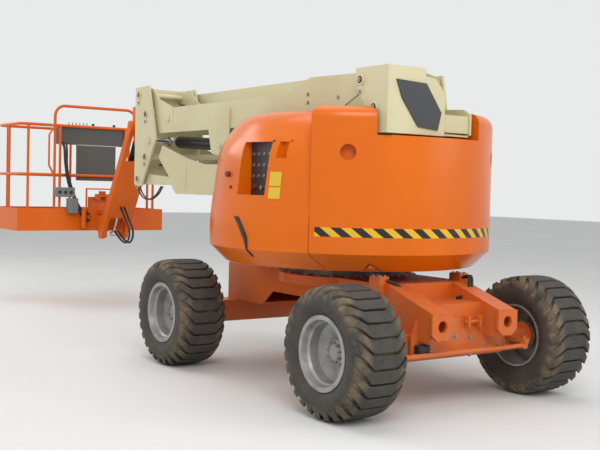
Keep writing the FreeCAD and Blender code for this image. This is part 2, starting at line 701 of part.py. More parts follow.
def hood_round(label, inset):
    """The hoods' round outline, which draws in towards the top, inset all over."""
    r, top = number(d.body_radius), number(d.body_high)
    low = number(d.body_low)
    points = [Vector(r, 0, number(d.dome_low))]
    points += [Vector(r * share, 0, top - fall) for share, fall in DOME]
    points.append(Vector(r * DOME[-1][0] - 110, 0, top))
    curve = Part.BSplineCurve()
    curve.interpolate(Points=points, InitialTangent=Vector(0, 0, 1),
                      FinalTangent=Vector(-1, 0, 0))
    if inset:
        first, last = curve.FirstParameter, curve.LastParameter
        count = 2 * len(points)
        moved = []
        for i in range(count + 1):
            t = first + (last - first) * i / count
            along = curve.tangent(t)[0]
            moved.append(curve.value(t) + Vector(-along.z, 0, along.x) * inset)
        curve = Part.BSplineCurve()
        curve.interpolate(Points=moved, InitialTangent=Vector(0, 0, 1),
                          FinalTangent=Vector(-1, 0, 0))
    start = curve.value(curve.FirstParameter)
    end = curve.value(curve.LastParameter)
    foot = [Vector(0, 0, low), Vector(number(body_foot) - inset, 0, low),
            Vector(r - inset, 0, number(d.body_knee)), start]
    return turned_solid(label, joined(foot) + [curve.toShape()] +
                        joined([end, Vector(0, 0, end.z), foot[0]]))


def counterweight():
    """Cast tail weight behind the seams, slotted for the tower and the tail upright."""
    body = weight_round("tail_round")
    under, over = d.body_low - 50, d.body_high + 50
    tools = [box("tail_front", (seam_x, past), (-past, past), (under, over)),
             rod("tail_seat", "Z", deck_radius + 5, under, deck_high, (0, 0)),
             box("tail_notch", (-past, seam_x + 40), (-d.right_hood_y, d.left_hood_y),
                 (d.notch_floor, over)),
             box("tail_slot", (root_back - 20, seam_x + 40), (right_face - 15, left_face + 15),
                 (under, over))]
    for name, side in (("left", 1), ("right", -1)):
        angle = math.radians(number(d.recess_turn)) * side
        out = Vector(math.cos(angle), math.sin(angle), 0)
        base = out * number(d.body_radius - d.recess_depth) + Vector(0, 0, number(d.recess_z))
        tools.append(feature("tail_recess_" + name, Part.makeCylinder(
            number(d.recess_radius), number(d.recess_depth) + 50, base, out)))
    return node(cut("counterweight", body, tools))


def hood(name, side, inner, windows):
    """Hollow hood panel that lifts on a hinge under its inner edge."""
    edges = sorted((side * (inner + 1), side * past), key=number)
    outer = hood_round("hood_round_" + name, 0)
    core = hood_round("hood_core_" + name, number(d.hood_wall))
    block = box("hood_block_" + name, (seam_x + d.seam_gap, past), (edges[0], edges[1]),
                (d.body_low - 50, d.body_high + 50))
    skin = doc.addObject("Part::MultiCommon", "hood_skin_" + name)
    skin.Shapes = [outer, block]
    foot = rod("hood_foot_" + name, "Z", body_foot - d.hood_wall, d.body_low - 20,
               d.body_low + d.hood_wall, (0, 0))
    wall_y = sorted((side * d.body_radius * 0.8, side * past), key=number)
    holes = [box("hood_window_%s_%d" % (name, i), x, (wall_y[0], wall_y[1]), z)
             for i, (x, z) in enumerate(windows)]
    shell = cut("hood_shell_" + name, skin, [core, foot] + holes)
    axis_y = side * (inner + 20)
    z = d.hinge_z
    sleeves = []
    for i, x in enumerate(HOOD_SLEEVES):
        sleeves.append(rod("hood_sleeve_%s_%d" % (name, i), "X", 15, x, x + 80, (axis_y, z)))
        sleeves.append(box("hood_strap_%s_%d" % (name, i), (x, x + 80),
                           (axis_y - 8, axis_y + 8), (z + 5, d.body_high - d.hood_wall + 5)))
    bore = rod("hood_bore_" + name, "X", 8 + d.pin_gap, HOOD_SLEEVES[0] - 10,
               HOOD_SLEEVES[-1] + 90, (axis_y, z))
    return node(cut("hood_" + name, fuse("hood_solid_" + name, [shell] + sleeves), [bore]))


def under_hoods():
    """Engine behind the right hood; valve bank and oil tank behind the left one."""
    right, outer = -d.right_hood_y - 85, d.engine_inset - d.body_radius
    node(box("engine_block", (seam_x + 220, seam_x + 220 + d.engine_x), (outer, right),
             (deck_high, d.engine_high)))
    left = d.left_hood_y + 55
    back, front = -d.window_left, -d.window_right - 10
    near, out = left + 20, d.body_radius * 0.84
    tank = front + d.tank_gap
    node(box("oil_tank", (tank, tank + d.tank_x), (left, out - d.tank_step),
             (deck_high, d.tank_high)))
    base = box("valve_stand", (back + 20, front - 20), (left, out - 60), (deck_high, 1380))
    body = box("valve_body", (back, front), (near, out - 20), (1380, d.valve_high))
    ports = [rod("valve_port_%d_%d" % (i, j), "Y", 15, out - 21, out + 15,
                 (back + 55 + 80 * i, 1450 + 65 * j)) for i in range(3) for j in range(3)]
    node(fuse("valve_bank", [base, body] + ports))


# Tower: two arms, each with a link beside it, between three uprights.

mid_upper = (d.mid_x, d.upper_pin_z)
mid_upper_link = (mid_upper[0] - d.link_back, mid_upper[1] - d.upper_link_drop)
mid_lower = (d.mid_x, d.lower_pin_z)
mid_lower_link = (mid_lower[0] - d.link_back, mid_lower[1] + d.lower_link_rise)
tail = (-d.tail_x, d.tail_pin_z)
tail_link = (tail[0] - d.link_back, tail[1] - d.upper_link_drop)
tower_eye = (d.tower_eye_x, d.tower_eye_z)
tower_foot = (d.bracket_x, d.bracket_z)
arm_left = left_face - d.arm_inset
arm_right = right_face + d.arm_inset
tower_mid = (left_face + right_face) / 2


def arm_sides(label, outline):
    return [plate(label + "_left", "XZ", arm_left - d.arm_plate, arm_left, outline),
            plate(label + "_right", "XZ", arm_right, arm_right + d.arm_plate, outline)]


def lobes(label, pin, radius):
    """Round ends of both side plates, with bosses out to the upright's plates."""
    reach = d.arm_inset - d.upright_plate - d.moving_gap
    return [rod(label + "_left", "Y", radius, arm_left - d.arm_plate, arm_left + reach, pin),
            rod(label + "_right", "Y", radius, arm_right - reach, arm_right + d.arm_plate, pin)]


def bores(label, pins):
    return [rod("%s_bore_%d" % (label, i), "Y", d.pin_radius + d.pin_gap, right_face - 20,
                left_face + 20, pin) for i, pin in enumerate(pins)]


def lower_arm():
    low, high = d.lower_low, d.lower_high
    pin_x, pin_z = mid_lower
    sides = arm_sides("lower_side", [
        (root[0], root[1] - 54), (root[0] + 140, low), (pin_x - 690, low),
        (pin_x - 600, pin_z - 52),
        (pin_x, pin_z - 54), (pin_x, pin_z + 54), (pin_x - 560, pin_z + 20),
        (pin_x - 340, pin_z + 200), (pin_x - 410, pin_z + 310), (pin_x - 900, pin_z + 185),
        (pin_x - 1210, high), (root[0] + 140, high), (root[0], root[1] + 54)])
    inner = (arm_right + d.arm_plate, arm_left - d.arm_plate)
    top = box("lower_top", (root[0] + 190, pin_x - 1000), inner, (high - d.arm_plate, high))
    floor = box("lower_floor", (root[0] + 190, pin_x - 700), inner, (low, low + d.arm_plate))
    ends = lobes("lower_lobe_front", mid_lower, d.lobe_radius)
    ends += lobes("lower_lobe_rear", root, d.lobe_radius)
    solid = fuse("lower_arm_solid", sides + [top, floor] + ends)
    return node(cut("lower_arm", solid, bores("lower_arm", (mid_lower, root))))


def tower_link(label, front, rear):
    """Flat tube between two eyes that keeps the uprights upright."""
    width = 30
    low, high = tower_mid - width, tower_mid + width
    run = Vector(number(rear[0]) - number(front[0]), 0, number(rear[1]) - number(front[1]))
    slope = run.z / run.x
    half = d.link_half
    bar = plate(label + "_bar", "XZ", low, high, [
        (front[0], front[1] + half), (rear[0], rear[1] + half),
        (rear[0], rear[1] - half), (front[0], front[1] - half)])
    eyes = [rod("%s_eye_%d" % (label, i), "Y", d.link_eye, low - 10, high + 10, pin)
            for i, pin in enumerate((front, rear))]
    holes = [rod("%s_hole_%d" % (label, i), "Y", d.pin_radius + d.pin_gap, low - 20, high + 20,
                 pin) for i, pin in enumerate((front, rear))]
    return node(cut(label, fuse(label + "_solid", [bar] + eyes), holes))


def upright_pins(label, pins):
    return [rod("%s_pin_%d" % (label, i), "Y", d.pin_radius, right_face - 10, left_face + 10, pin)
            for i, pin in enumerate(pins)]


def mid_upright():
    """Kite-shaped side plates on a front web, with the arms' and links' pins."""
    face = d.mid_face
    outline = [(face, d.upper_pin_z + 70), (d.apex_x + 160, d.upper_pin_z + 70),
               (d.apex_x, d.apex_z), (face - 150, d.lower_pin_z - 70),
               (face - 30, d.lower_pin_z - 70), (face, d.lower_pin_z - 40)]
    sides = [plate("mid_left", "XZ", left_face - d.upright_plate, left_face, outline),
             plate("mid_right", "XZ", right_face, right_face + d.upright_plate, outline)]
    web = box("mid_web", (face - 12, face), (right_face, left_face),
              (d.lower_pin_z - 40, d.upper_pin_z + 70))
    pins = upright_pins("mid", (mid_upper, mid_upper_link, mid_lower_link, mid_lower))
    bosses = [rod("mid_boss_left", "Y", d.pin_radius + 10, left_face - 4, left_face + 10,
                  tower_eye),
              rod("mid_boss_right", "Y", d.pin_radius + 10, right_face - 10, right_face + 4,
                  tower_eye)]
    return node(fuse("mid_upright", sides + [web] + pins + bosses))


def upper_arm():
    low, high = d.upper_low, d.upper_high
    pin_x, pin_z = mid_upper
    sides = arm_sides("upper_side", [
        (pin_x, pin_z + 54), (pin_x - 190, pin_z + 50), (pin_x - 330, pin_z - 60),
        (pin_x - 600, high), (tail[0] + 960, high), (tail[0] + 640, tail[1] + 70),
        (tail[0], tail[1] + 54),
        (tail[0], tail[1] - 54), (tail[0] + 60, tail[1] - 80), (tail[0] + 450, low),
        (pin_x - 340, low),
        (pin_x - 230, pin_z - 150), (pin_x - 60, pin_z - 65), (pin_x, pin_z - 54)])
    inner = (arm_right + d.arm_plate, arm_left - d.arm_plate)
    top = box("upper_top", (tail[0] + 960, pin_x - 600), inner, (high - d.arm_plate, high))
    ends = lobes("upper_lobe_front", mid_upper, d.lobe_radius)
    ends += lobes("upper_lobe_rear", tail, d.lobe_radius)
    foot_x, foot_z = tower_foot
    hanger = [(foot_x - 150, high - 60), (foot_x - 150, foot_z - 20), (foot_x - 20, foot_z - 90),
              (foot_x + 130, foot_z - 70), (foot_x + 190, low), (foot_x + 190, high - 60)]
    hangers = [
        plate("hanger_left", "XZ", arm_left, arm_left + 12, hanger),
        plate("hanger_right", "XZ", arm_right - 12, arm_right, hanger)]
    pin = rod("hanger_pin", "Y", d.pin_radius, arm_right - 20, arm_left + 20, tower_foot)
    solid = fuse("upper_arm_solid", sides + [top] + ends + hangers)
    bored = cut("upper_arm_bored", solid, bores("upper_arm", (mid_upper, tail)))
    return node(fuse("upper_arm", [bored, pin]))


def cylinder(label, foot, eye, radius, y, width, pin, lip, cross, foot_gap, eye_gap, retract):
    """Barrel on its foot pin, and a rod that can retract, its eye with its own cross pin."""
    length = span(foot, eye)
    half = width / 2
    bore = number(radius) * 0.55
    barrel = slant(label + "_tube", radius, foot, eye, foot_gap, length - eye_gap, y)
    boss = rod(label + "_foot", "Y", pin + lip, y - half, y + half, foot)
    neck = slant(label + "_neck", number(radius) * 0.8, foot, eye, 0, foot_gap + 10, y)
    hole = rod(label + "_foot_hole", "Y", pin + d.pin_gap, y - half - 5, y + half + 5, foot)
    inside = slant(label + "_inside", bore + 0.5, foot, eye, foot_gap + 30,
                   length - eye_gap + 5, y)
    node(cut(label + "_barrel", fuse(label + "_barrel_solid", [barrel, boss, neck]),
             [hole, inside]))
    shaft = slant(label + "_shaft", bore, foot, eye, foot_gap + 45 + retract, length, y)
    end = rod(label + "_eye", "Y", pin + lip, y - half, y + half, eye)
    across = rod(label + "_cross", "Y", pin, y - cross, y + cross, eye)
    node(fuse(label + "_rod", [shaft, end, across]))


boom_mid = -d.boom_y
boom_root = (-d.boom_root_x, d.boom_root_z)
lift_foot = (-d.lift_foot_x, d.lift_foot_z)
lift_eye = (d.lift_eye_x, d.lift_eye_z)
boom_left = boom_mid + d.boom_width / 2
boom_right = boom_mid - d.boom_width / 2


def tail_upright():
    """Channel on the rear of the tower, with the main boom's ears on its right side."""
    face, low, high = -d.tail_face, d.tail_low, d.tail_high
    front = tail[0] + 55
    foot = face + 170
    side = [(face, low), (face, high), (front, high), (front, tail[1] - 40), (foot, low + 100),
            (foot, low)]
    left = plate("tail_left", "XZ", left_face - d.upright_plate, left_face, side)
    right = plate("tail_right", "XZ", right_face, right_face + d.upright_plate,
                  [(face, low), (face, high - 155), (face + 80, high - 65),
                   (front, high - 20), (front, tail[1] - 40), (foot, low + 100), (foot, low)])
    back = plate("tail_back", "YZ", face, face + 14, [
        (left_face, low), (left_face, high), (right_face + 180, high),
        (right_face + 180, high - 50), (right_face + 90, high - 60),
        (right_face, high - 155), (right_face, low)])
    floor = box("tail_floor", (face, foot - 20), (right_face, left_face), (low, low + 14))
    ear = [(face + 20, low + 20), (face + 20, low + 160), (face + 80, low + 200),
           (tail[0] - 20, low + 210),
           (boom_root[0] - 70, boom_root[1] + 60), (boom_root[0] + 70, boom_root[1] + 60),
           (boom_root[0] + 90, boom_root[1] - 60), (lift_foot[0] + 70, lift_foot[1] - 10),
           (lift_foot[0] + 40, low + 5), (face + 120, low + 5)]
    gap = d.moving_gap
    inner = plate("tail_ear_inner", "XZ", boom_left + gap, right_face, ear)
    outer = plate("tail_ear_outer", "XZ", boom_right - gap - 18, boom_right - gap, ear)
    tie = box("tail_ear_tie", (face + 30, face + 100), (boom_right - gap, boom_left + gap),
              (low + 30, low + 150))
    shelf = box("tail_ear_shelf", (face + 30, tail[0] + 60), (boom_right - gap, boom_left + gap),
                (low + 5, low + 17))
    pins = upright_pins("tail", (tail, tail_link))
    boom_pin = rod("tail_boom_pin", "Y", d.pin_radius, boom_right - gap - 26, right_face,
                   boom_root)
    lift_pin = rod("tail_lift_pin", "Y", 20, boom_right - gap - 26, right_face, lift_foot)
    parts = [left, right, back, floor, inner, outer, tie, shelf, boom_pin, lift_pin]
    return node(fuse("tail_upright", parts + pins))


def upright_cover():
    """Moulded plastic cover in front of the tail upright's rear opening."""
    face = -d.tail_face
    left, low, high = left_face, d.tail_low, d.tail_high
    cover = plate("upright_cover", "YZ", face - 10, face, [
        (left - 70, high - 90), (left - 330, high - 100), (left - 470, high - 285),
        (left - 440, low + 35), (left - 265, low + 50), (left - 120, low + 230)])
    return node(cover)


def main_boom():
    low, high, wall = d.boom_low, d.boom_high, d.boom_wall
    rear = -450
    tube = box("boom_tube", (rear, d.boom_front), (boom_right, boom_left), (low, high))
    hollow = box("boom_hollow", (rear - 1, d.boom_front + 1), (boom_right + wall, boom_left - wall),
                 (low + wall, high - wall))
    shell = cut("boom_shell", tube, [hollow])
    ends = []
    for name, y in (("left", boom_left - wall), ("right", boom_right)):
        ends.append(plate("boom_cheek_" + name, "XZ", y, y + wall, [
            (rear, low), (rear, high), (boom_root[0], boom_root[1] + 62),
            (boom_root[0], boom_root[1] - 62)]))
        ends.append(rod("boom_lobe_" + name, "Y", 62, y, y + wall, boom_root))
    tube_pin = rod("boom_hinge_tube", "Y", 45, boom_right, boom_left, boom_root)
    lugs = []
    for name, y in (("left", boom_mid + 45), ("right", boom_mid - 60)):
        lugs.append(plate("boom_lug_" + name, "XZ", y, y + 15, [
            (lift_eye[0] - 70, low), (lift_eye[0] - 35, lift_eye[1] - 35),
            (lift_eye[0] + 35, lift_eye[1] - 35), (lift_eye[0] + 70, low)]))
        lugs.append(rod("boom_lug_boss_" + name, "Y", 28, y - (9 if name == "right" else 0),
                        y + (15 if name == "right" else 24), lift_eye))
    hole = rod("boom_bore", "Y", d.pin_radius + d.pin_gap, boom_right - 5, boom_left + 5,
               boom_root)
    pads = []
    inner = d.fly_width / 2 + d.running_gap
    middle = (low + high) / 2
    reach = d.boom_width / 2 - wall
    for name, y, z in (("left", (boom_mid + inner, boom_mid + reach), (middle - 60, middle + 60)),
                       ("right", (boom_mid - reach, boom_mid - inner), (middle - 60, middle + 60)),
                       ("top", (boom_mid - 60, boom_mid + 60), (middle + inner, high - wall)),
                       ("foot", (boom_mid - 60, boom_mid + 60), (low + wall, middle - inner))):
        pads.append(box("boom_pad_" + name, (d.boom_front - 90, d.boom_front - 10), y, z))
    solid = fuse("main_boom_solid", [shell] + ends + [tube_pin] + lugs + pads)
    return node(cut("main_boom", solid, [hole]))


level = (d.level_x, d.level_z)
level_foot = (d.level_x - 520, d.level_z - 45)
level_eye = (d.level_x + 60, d.level_z - 150)
jib_top = (d.jib_x, d.jib_z)
jib_end = (d.jib_x + d.jib_run, d.jib_z - d.jib_drop)
jib_top_link = (jib_top[0], jib_top[1] + d.jib_link_rise)
jib_end_link = (jib_end[0], jib_end[1] + d.jib_link_rise)


def fly_boom():
    """Square inner boom with nose plates that carry the levelling head."""
    half = d.fly_width / 2
    middle = (d.boom_low + d.boom_high) / 2
    tube = box("fly_tube", (-d.fly_back, d.fly_front), (boom_mid - half, boom_mid + half),
               (middle - half, middle + half))
    hollow = box("fly_hollow", (-d.fly_back - 1, d.fly_front - 20),
                 (boom_mid - half + d.fly_wall, boom_mid + half - d.fly_wall),
                 (middle - half + d.fly_wall, middle + half - d.fly_wall))
    shell = cut("fly_shell", tube, [hollow])
    cheeks = []
    for name, side in (("left", 1), ("right", -1)):
        edges = sorted((boom_mid + side * 60, boom_mid + side * 75), key=number)
        cheeks.append(plate("fly_cheek_" + name, "XZ", edges[0], edges[1], [
            (d.fly_front - 260, middle - half), (d.fly_front - 60, level[1] - 40),
            (level[0], level[1] - 40), (level[0], level[1] + 40),
            (d.fly_front, middle - half)]))
        edges = sorted((boom_mid + side * 60, boom_mid + side * 85), key=number)
        cheeks.append(rod("fly_lobe_" + name, "Y", 40, edges[0], edges[1], level))
    foot = [plate("fly_foot_" + name, "XZ", y, y + 12, [
        (level_foot[0] - 50, middle - half), (level_foot[0] - 25, level_foot[1] - 25),
        (level_foot[0] + 25, level_foot[1] - 25), (level_foot[0] + 50, middle - half)])
        for name, y in (("left", boom_mid + 22), ("right", boom_mid - 34))]
    pin = rod("fly_foot_pin", "Y", 14, boom_mid - 38, boom_mid + 38, level_foot)
    hole = rod("fly_hole", "Y", d.jib_pin + d.pin_gap, boom_mid - 90, boom_mid + 90, level)
    solid = cut("fly_bored", fuse("fly_solid", [shell] + cheeks + foot), [hole])
    return node(fuse("fly_boom", [solid, pin]))


def jib_base():
    """Levelling head: two plates on the nose's pin that carry the jib's and its link's pins."""
    inner, outer = 90, 110
    plates = []
    for name, side in (("left", 1), ("right", -1)):
        edges = sorted((boom_mid + side * inner, boom_mid + side * outer), key=number)
        plates.append(plate("head_plate_" + name, "XZ", edges[0], edges[1], [
            (level[0] - 45, level[1] - 30), (level_eye[0] - 40, level_eye[1] - 35),
            (level_eye[0] + 40, level_eye[1] - 35), (jib_top[0] + 40, jib_top[1] - 40),
            (jib_top_link[0] + 40, jib_top_link[1] + 30),
            (jib_top_link[0] - 40, jib_top_link[1] + 30), (level[0] - 45, level[1] + 40)]))
        edges = sorted((boom_mid + side * inner, boom_mid + side * (d.jib_bar_y + 30)),
                       key=number)
        plates.append(rod("head_stub_" + name, "Y", d.jib_pin, edges[0], edges[1], jib_top))
        edges = sorted((boom_mid + side * 25, boom_mid + side * outer), key=number)
        plates.append(rod("head_eye_pin_" + name, "Y", 14, edges[0], edges[1], level_eye))
    gusset = box("head_gusset", (level[0] + 50, level[0] + 66),
                 (boom_mid - outer, boom_mid + outer), (level[1] - 60, level[1] + 30))
    pins = [rod("head_level_pin", "Y", d.jib_pin, boom_mid - outer, boom_mid + outer, level),
            rod("head_link_pin", "Y", d.jib_pin, boom_mid - outer, boom_mid + outer,
                jib_top_link)]
    return node(fuse("jib_base", plates + [gusset] + pins))


def bar_outline(start, end, half, first=0, last=0):
    """Corners of a straight bar between two pins in XZ, half its depth to each side."""
    run = Vector(number(end[0]) - number(start[0]), 0, number(end[1]) - number(start[1]))
    unit = Vector(run).normalize()
    side = Vector(-unit.z, 0, unit.x) * number(half)
    a = Vector(number(start[0]), 0, number(start[1])) + unit * first
    b = Vector(number(end[0]), 0, number(end[1])) - unit * last
    return [(p.x, p.z) for p in (a + side, b + side, b - side, a - side)]


def jib_arms():
    """Two bars with round eyes, a web plate under them and the lower cross pin."""
    half = d.jib_bar_half
    bars = []
    for name, side in (("left", 1), ("right", -1)):
        low = boom_mid + side * d.jib_bar_y - d.jib_bar_width / 2
        high = low + d.jib_bar_width
        bars.append(plate("jib_bar_" + name, "XZ", low, high,
                          bar_outline(jib_top, jib_end, half)))
        bars += [rod("jib_eye_%s_%d" % (name, i), "Y", half + 12, low, high, pin)
                 for i, pin in enumerate((jib_top, jib_end))]
    inner = d.jib_bar_y - d.jib_bar_width / 2
    unit = Vector(number(d.jib_run), 0, -number(d.jib_drop)).normalize()
    down = Vector(unit.z, 0, -unit.x) * (number(half) - 5)
    shift = lambda pin: (number(pin[0]) + down.x, number(pin[1]) + down.z)
    web = plate("jib_web", "XZ", boom_mid - inner, boom_mid + inner,
                bar_outline(shift(jib_top), shift(jib_end), 5, 420, 250))
    holes = []
    for name, side in (("left", 1), ("right", -1)):
        low = boom_mid + side * d.jib_bar_y - d.jib_bar_width
        holes.append(rod("jib_hole_" + name, "Y", d.jib_pin + d.pin_gap, low,
                         low + 2 * d.jib_bar_width, jib_top))
    solid = cut("jib_bored", fuse("jib_solid", bars + [web]), holes)
    stubs = []
    for name, side in (("left", 1), ("right", -1)):
        edges = sorted((boom_mid + side * 85, boom_mid + side * d.jib_bar_y), key=number)
        stubs.append(rod("jib_end_stub_" + name, "Y", d.jib_pin, edges[0], edges[1], jib_end))
    return node(fuse("jib_arms", [solid] + stubs))


def jib_link():
    """Pair of flat bars above the jib that keep the platform level."""
    parts = []
    holes = []
    for name, y in (("left", boom_mid + 62), ("right", boom_mid - 80)):
        parts.append(plate("link_bar_" + name, "XZ", y, y + 18,
                           bar_outline(jib_top_link, jib_end_link, 15)))
        parts += [rod("link_eye_%s_%d" % (name, i), "Y", 34, y, y + 18, pin)
                  for i, pin in enumerate((jib_top_link, jib_end_link))]
    for i, pin in enumerate((jib_top_link, jib_end_link)):
        holes.append(rod("link_hole_%d" % i, "Y", d.jib_pin + d.pin_gap, boom_mid - 90,
                         boom_mid + 90, pin))
    return node(cut("jib_link", fuse("jib_link_solid", parts), holes))


turn_axis = (d.turn_x, boom_mid)
turn_top = jib_end[1] + d.jib_link_rise + 40


def platform_support():
    """Bracket on the jib's lower pins with the upright rotator that carries the platform."""
    inner, outer = 90, 110
    plates = []
    for name, side in (("left", 1), ("right", -1)):
        edges = sorted((boom_mid + side * inner, boom_mid + side * outer), key=number)
        plates.append(plate("support_plate_" + name, "XZ", edges[0], edges[1], [
            (jib_end[0] - 30, jib_end[1] - 40), (jib_end[0] + 60, jib_end[1] - 40),
            (d.turn_x, jib_end[1] + 20), (d.turn_x, jib_end[1] + 200),
            (jib_end_link[0] + 40, jib_end_link[1] + 35),
            (jib_end_link[0] - 40, jib_end_link[1] + 35)]))
    web = box("support_web", (d.turn_x - 40, d.turn_x - 15), (boom_mid - inner, boom_mid + inner),
              (jib_end[1] + 30, turn_top - 30))
    column = rod("support_column", "Z", d.turn_radius, jib_end[1] + 30, turn_top, turn_axis)
    pin = rod("support_link_pin", "Y", d.jib_pin, boom_mid - outer, boom_mid + outer,
              jib_end_link)
    hole = rod("support_hole", "Y", d.jib_pin + d.pin_gap, boom_mid - 120, boom_mid + 120, jib_end)
    bore = rod("support_bore", "Z", d.turn_post + d.pin_gap, jib_end[1], turn_top + 5, turn_axis)
    solid = fuse("support_solid", plates + [web, column])
    return node(fuse("platform_support", [cut("support_bored", solid, [hole, bore]), pin]))


near, far = d.platform_x, d.platform_x + d.platform_depth
platform_mid = -d.platform_y
half_width = d.platform_width / 2
floor_top = d.floor_low + d.floor_rise + d.floor_thick


def platform_floor():
    """Floor with toe boards and the post that stands in the rotator."""
    left, right = platform_mid + half_width, platform_mid - half_width
    floor = box("floor_pan", (near, far), (right, left), (floor_top - d.floor_thick, floor_top))
    board = d.toe_board
    upright = (d.floor_low, d.toe_high)
    toes = [box("toe_near", (near, near + board), (right, left), upright),
            box("toe_far", (far - board, far), (right, left), upright),
            box("toe_left", (near, far), (left - board, left), upright),
            box("toe_right", (near, far), (right, right + board), upright)]
    z = turn_top + d.running_gap
    post = rod("turn_post_rod", "Z", d.turn_post, jib_end[1] + 20, z + 40, turn_axis)
    hanger = box("turn_arm", (d.turn_x - 40, near), (boom_mid - 40, boom_mid + 40), (z, z + 40))
    mount = box("turn_mount", (near - 12, near), (boom_mid - 160, boom_mid + 160),
                (d.floor_low, z + 200))
    return node(fuse("platform_floor", [floor] + toes + [post, hanger, mount]))


def bent_tube(label, radius, points, bend, closed=False):
    """A round tube along straight runs that are joined by arcs of one radius."""
    corners = [Vector(*[number(size) for size in point]) for point in points]
    count = len(corners)
    bends = range(count) if closed else range(1, count - 1)
    joints = {}
    for i in bends:
        here = corners[i]
        back = (corners[i - 1] - here).normalize()
        ahead = (corners[(i + 1) % count] - here).normalize()
        opening = back.getAngle(ahead)
        reach = bend / math.tan(opening / 2)
        centre = here + (back + ahead).normalize() * (bend / math.sin(opening / 2))
        middle = centre + (here - centre).normalize() * bend
        joints[i] = (here + back * reach, middle, here + ahead * reach)
    edges = []
    for i in range(count if closed else count - 1):
        after = (i + 1) % count
        start = joints[i][2] if i in joints else corners[i]
        end = joints[after][0] if after in joints else corners[after]
        edges.append(Part.LineSegment(start, end).toShape())
        if after in joints:
            edges.append(Part.Arc(*joints[after]).toShape())
    path = Part.Wire(Part.__sortEdges__(edges))
    start = edges[0].valueAt(edges[0].FirstParameter)
    heading = edges[0].tangentAt(edges[0].FirstParameter)
    ring = Part.Wire(Part.makeCircle(number(radius), start, heading))
    return feature(label, path.makePipeShell([ring], True, False))


def platform_rails():
    """Bent tube rails in two loops on upright posts, with the raised hoop on the near side."""
    r = d.rail_radius
    inset = r + d.toe_board + 2
    x0, x1 = near + inset, far - inset
    y0, y1 = platform_mid - half_width + inset, platform_mid + half_width - inset
    rails = []
    for name, z in (("top", d.rail_high), ("mid", d.rail_mid)):
        rails.append(bent_tube("rail_" + name, r, [
            (x0, y0, z), (x1, y0, z), (x1, y1, z), (x0, y1, z)], 70, True))
    posts = []
    corner, inner = d.post_corner, d.post_inner
    stand = [(x0, y1 - corner), (x0, y1 - inner), (x0, y0 + inner), (x0, y0 + corner),
             (x1, y1 - corner), (x1, platform_mid), (x1, y0 + corner),
             (near + d.platform_depth / 2, y0), (near + d.platform_depth / 2, y1)]
    for i, (x, y) in enumerate(stand):
        posts.append(rod("rail_post_%d" % i, "Z", r - 2, floor_top, d.rail_high, (x, y)))
    left, right = d.hoop_left, -d.hoop_right
    hoop = bent_tube("rail_hoop", r, [
        (x0, left, d.rail_high), (x0, left, d.hoop_high), (x0, right, d.hoop_high),
        (x0, right, d.rail_high)], 120)
    grab = bent_tube("rail_grab", r - 6, [
        (x0, left + 15, d.rail_high - 30), (x0 - 5, left + 70, d.rail_high - 110),
        (x0 - 5, left + 70, d.rail_mid + 110), (x0, left + 15, d.rail_mid + 10)], 40)
    post = rod("rail_hoop_post", "Z", r - 2, floor_top, d.rail_high, (x0, left))
    return node(fuse("platform_rails", rails + posts + [hoop, post, grab]))


def console():
    """Control box hung inside the top rail, its panel sloping towards the platform."""
    low, high = d.console_low, d.console_high
    x = near + 2 * d.rail_radius + d.toe_board + 2 + d.running_gap
    case = plate("console_case", "XZ", -d.console_right, d.console_left, [
        (x, low), (x, high), (x + 60, high), (x + 240, high - 50), (x + 240, low + 90),
        (x + 160, low)])
    hook = box("console_panel", (x, x + 40), (-d.console_right + 140, d.console_left - 200),
               (d.rail_mid - 60, low))
    return node(fuse("control_console", [case, hook]))


wheels()
chassis_frame()
axles()
tie_rod()
slew_ring()
turntable_frame()
counterweight()
hood("left", 1, d.left_hood_y, [((-d.window_left, -d.window_right),
                                 (d.window_low, d.window_high)),
                                ((-d.window_left - 125, -d.window_left - 50),
                                 (d.window_high - 110, d.window_high))])
hood("right", -1, d.right_hood_y, [])
under_hoods()
lower_arm()
tower_link("lower_link", mid_lower_link, root_link)
mid_upright()
upper_arm()
tower_link("upper_link", mid_upper_link, tail_link)
cylinder("tower_cylinder", tower_foot, tower_eye, d.tower_barrel, tower_mid, 90, d.pin_radius,
         20, tower_mid - right_face - d.upright_plate - 2, 70, 150, 0)
tail_upright()
upright_cover()
main_boom()
cylinder("lift_cylinder", lift_foot, lift_eye, d.lift_barrel, boom_mid, 80, d.pin_radius - 5,
         18, 40, 60, 90, 0)
fly_boom()
jib_base()
cylinder("level_cylinder", level_foot, level_eye, d.jib_barrel - 6, boom_mid, 40,
         d.jib_pin - 8, 14, 20, 40, 255, 196)
jib_arms()
jib_link()
cylinder("jib_cylinder", jib_top_link, jib_end, d.jib_barrel, boom_mid, 60, d.jib_pin, 8, 30,
         60, 400, 329)
platform_support()
platform_floor()
platform_rails()
console()

doc.recompute()
failed = [part.Label for part in doc.Objects
          if "Invalid" in part.State or "Error" in part.State]
if failed:
    raise RuntimeError("failed: " + ", ".join(failed))
for part in nodes:
    if part.Shape.isNull() or not part.Shape.isValid():
        raise RuntimeError("bad shape: " + part.Label)
os.makedirs("parts", exist_ok=True)
for part in nodes:
    part.Shape.exportStep("parts/%s.step" % part.Label)
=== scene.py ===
"""Looks of an articulating boom lift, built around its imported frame. Lengths are in metres."""
import math

import bmesh
import bpy
from mathutils import Matrix, Vector
from mathutils.bvhtree import BVHTree


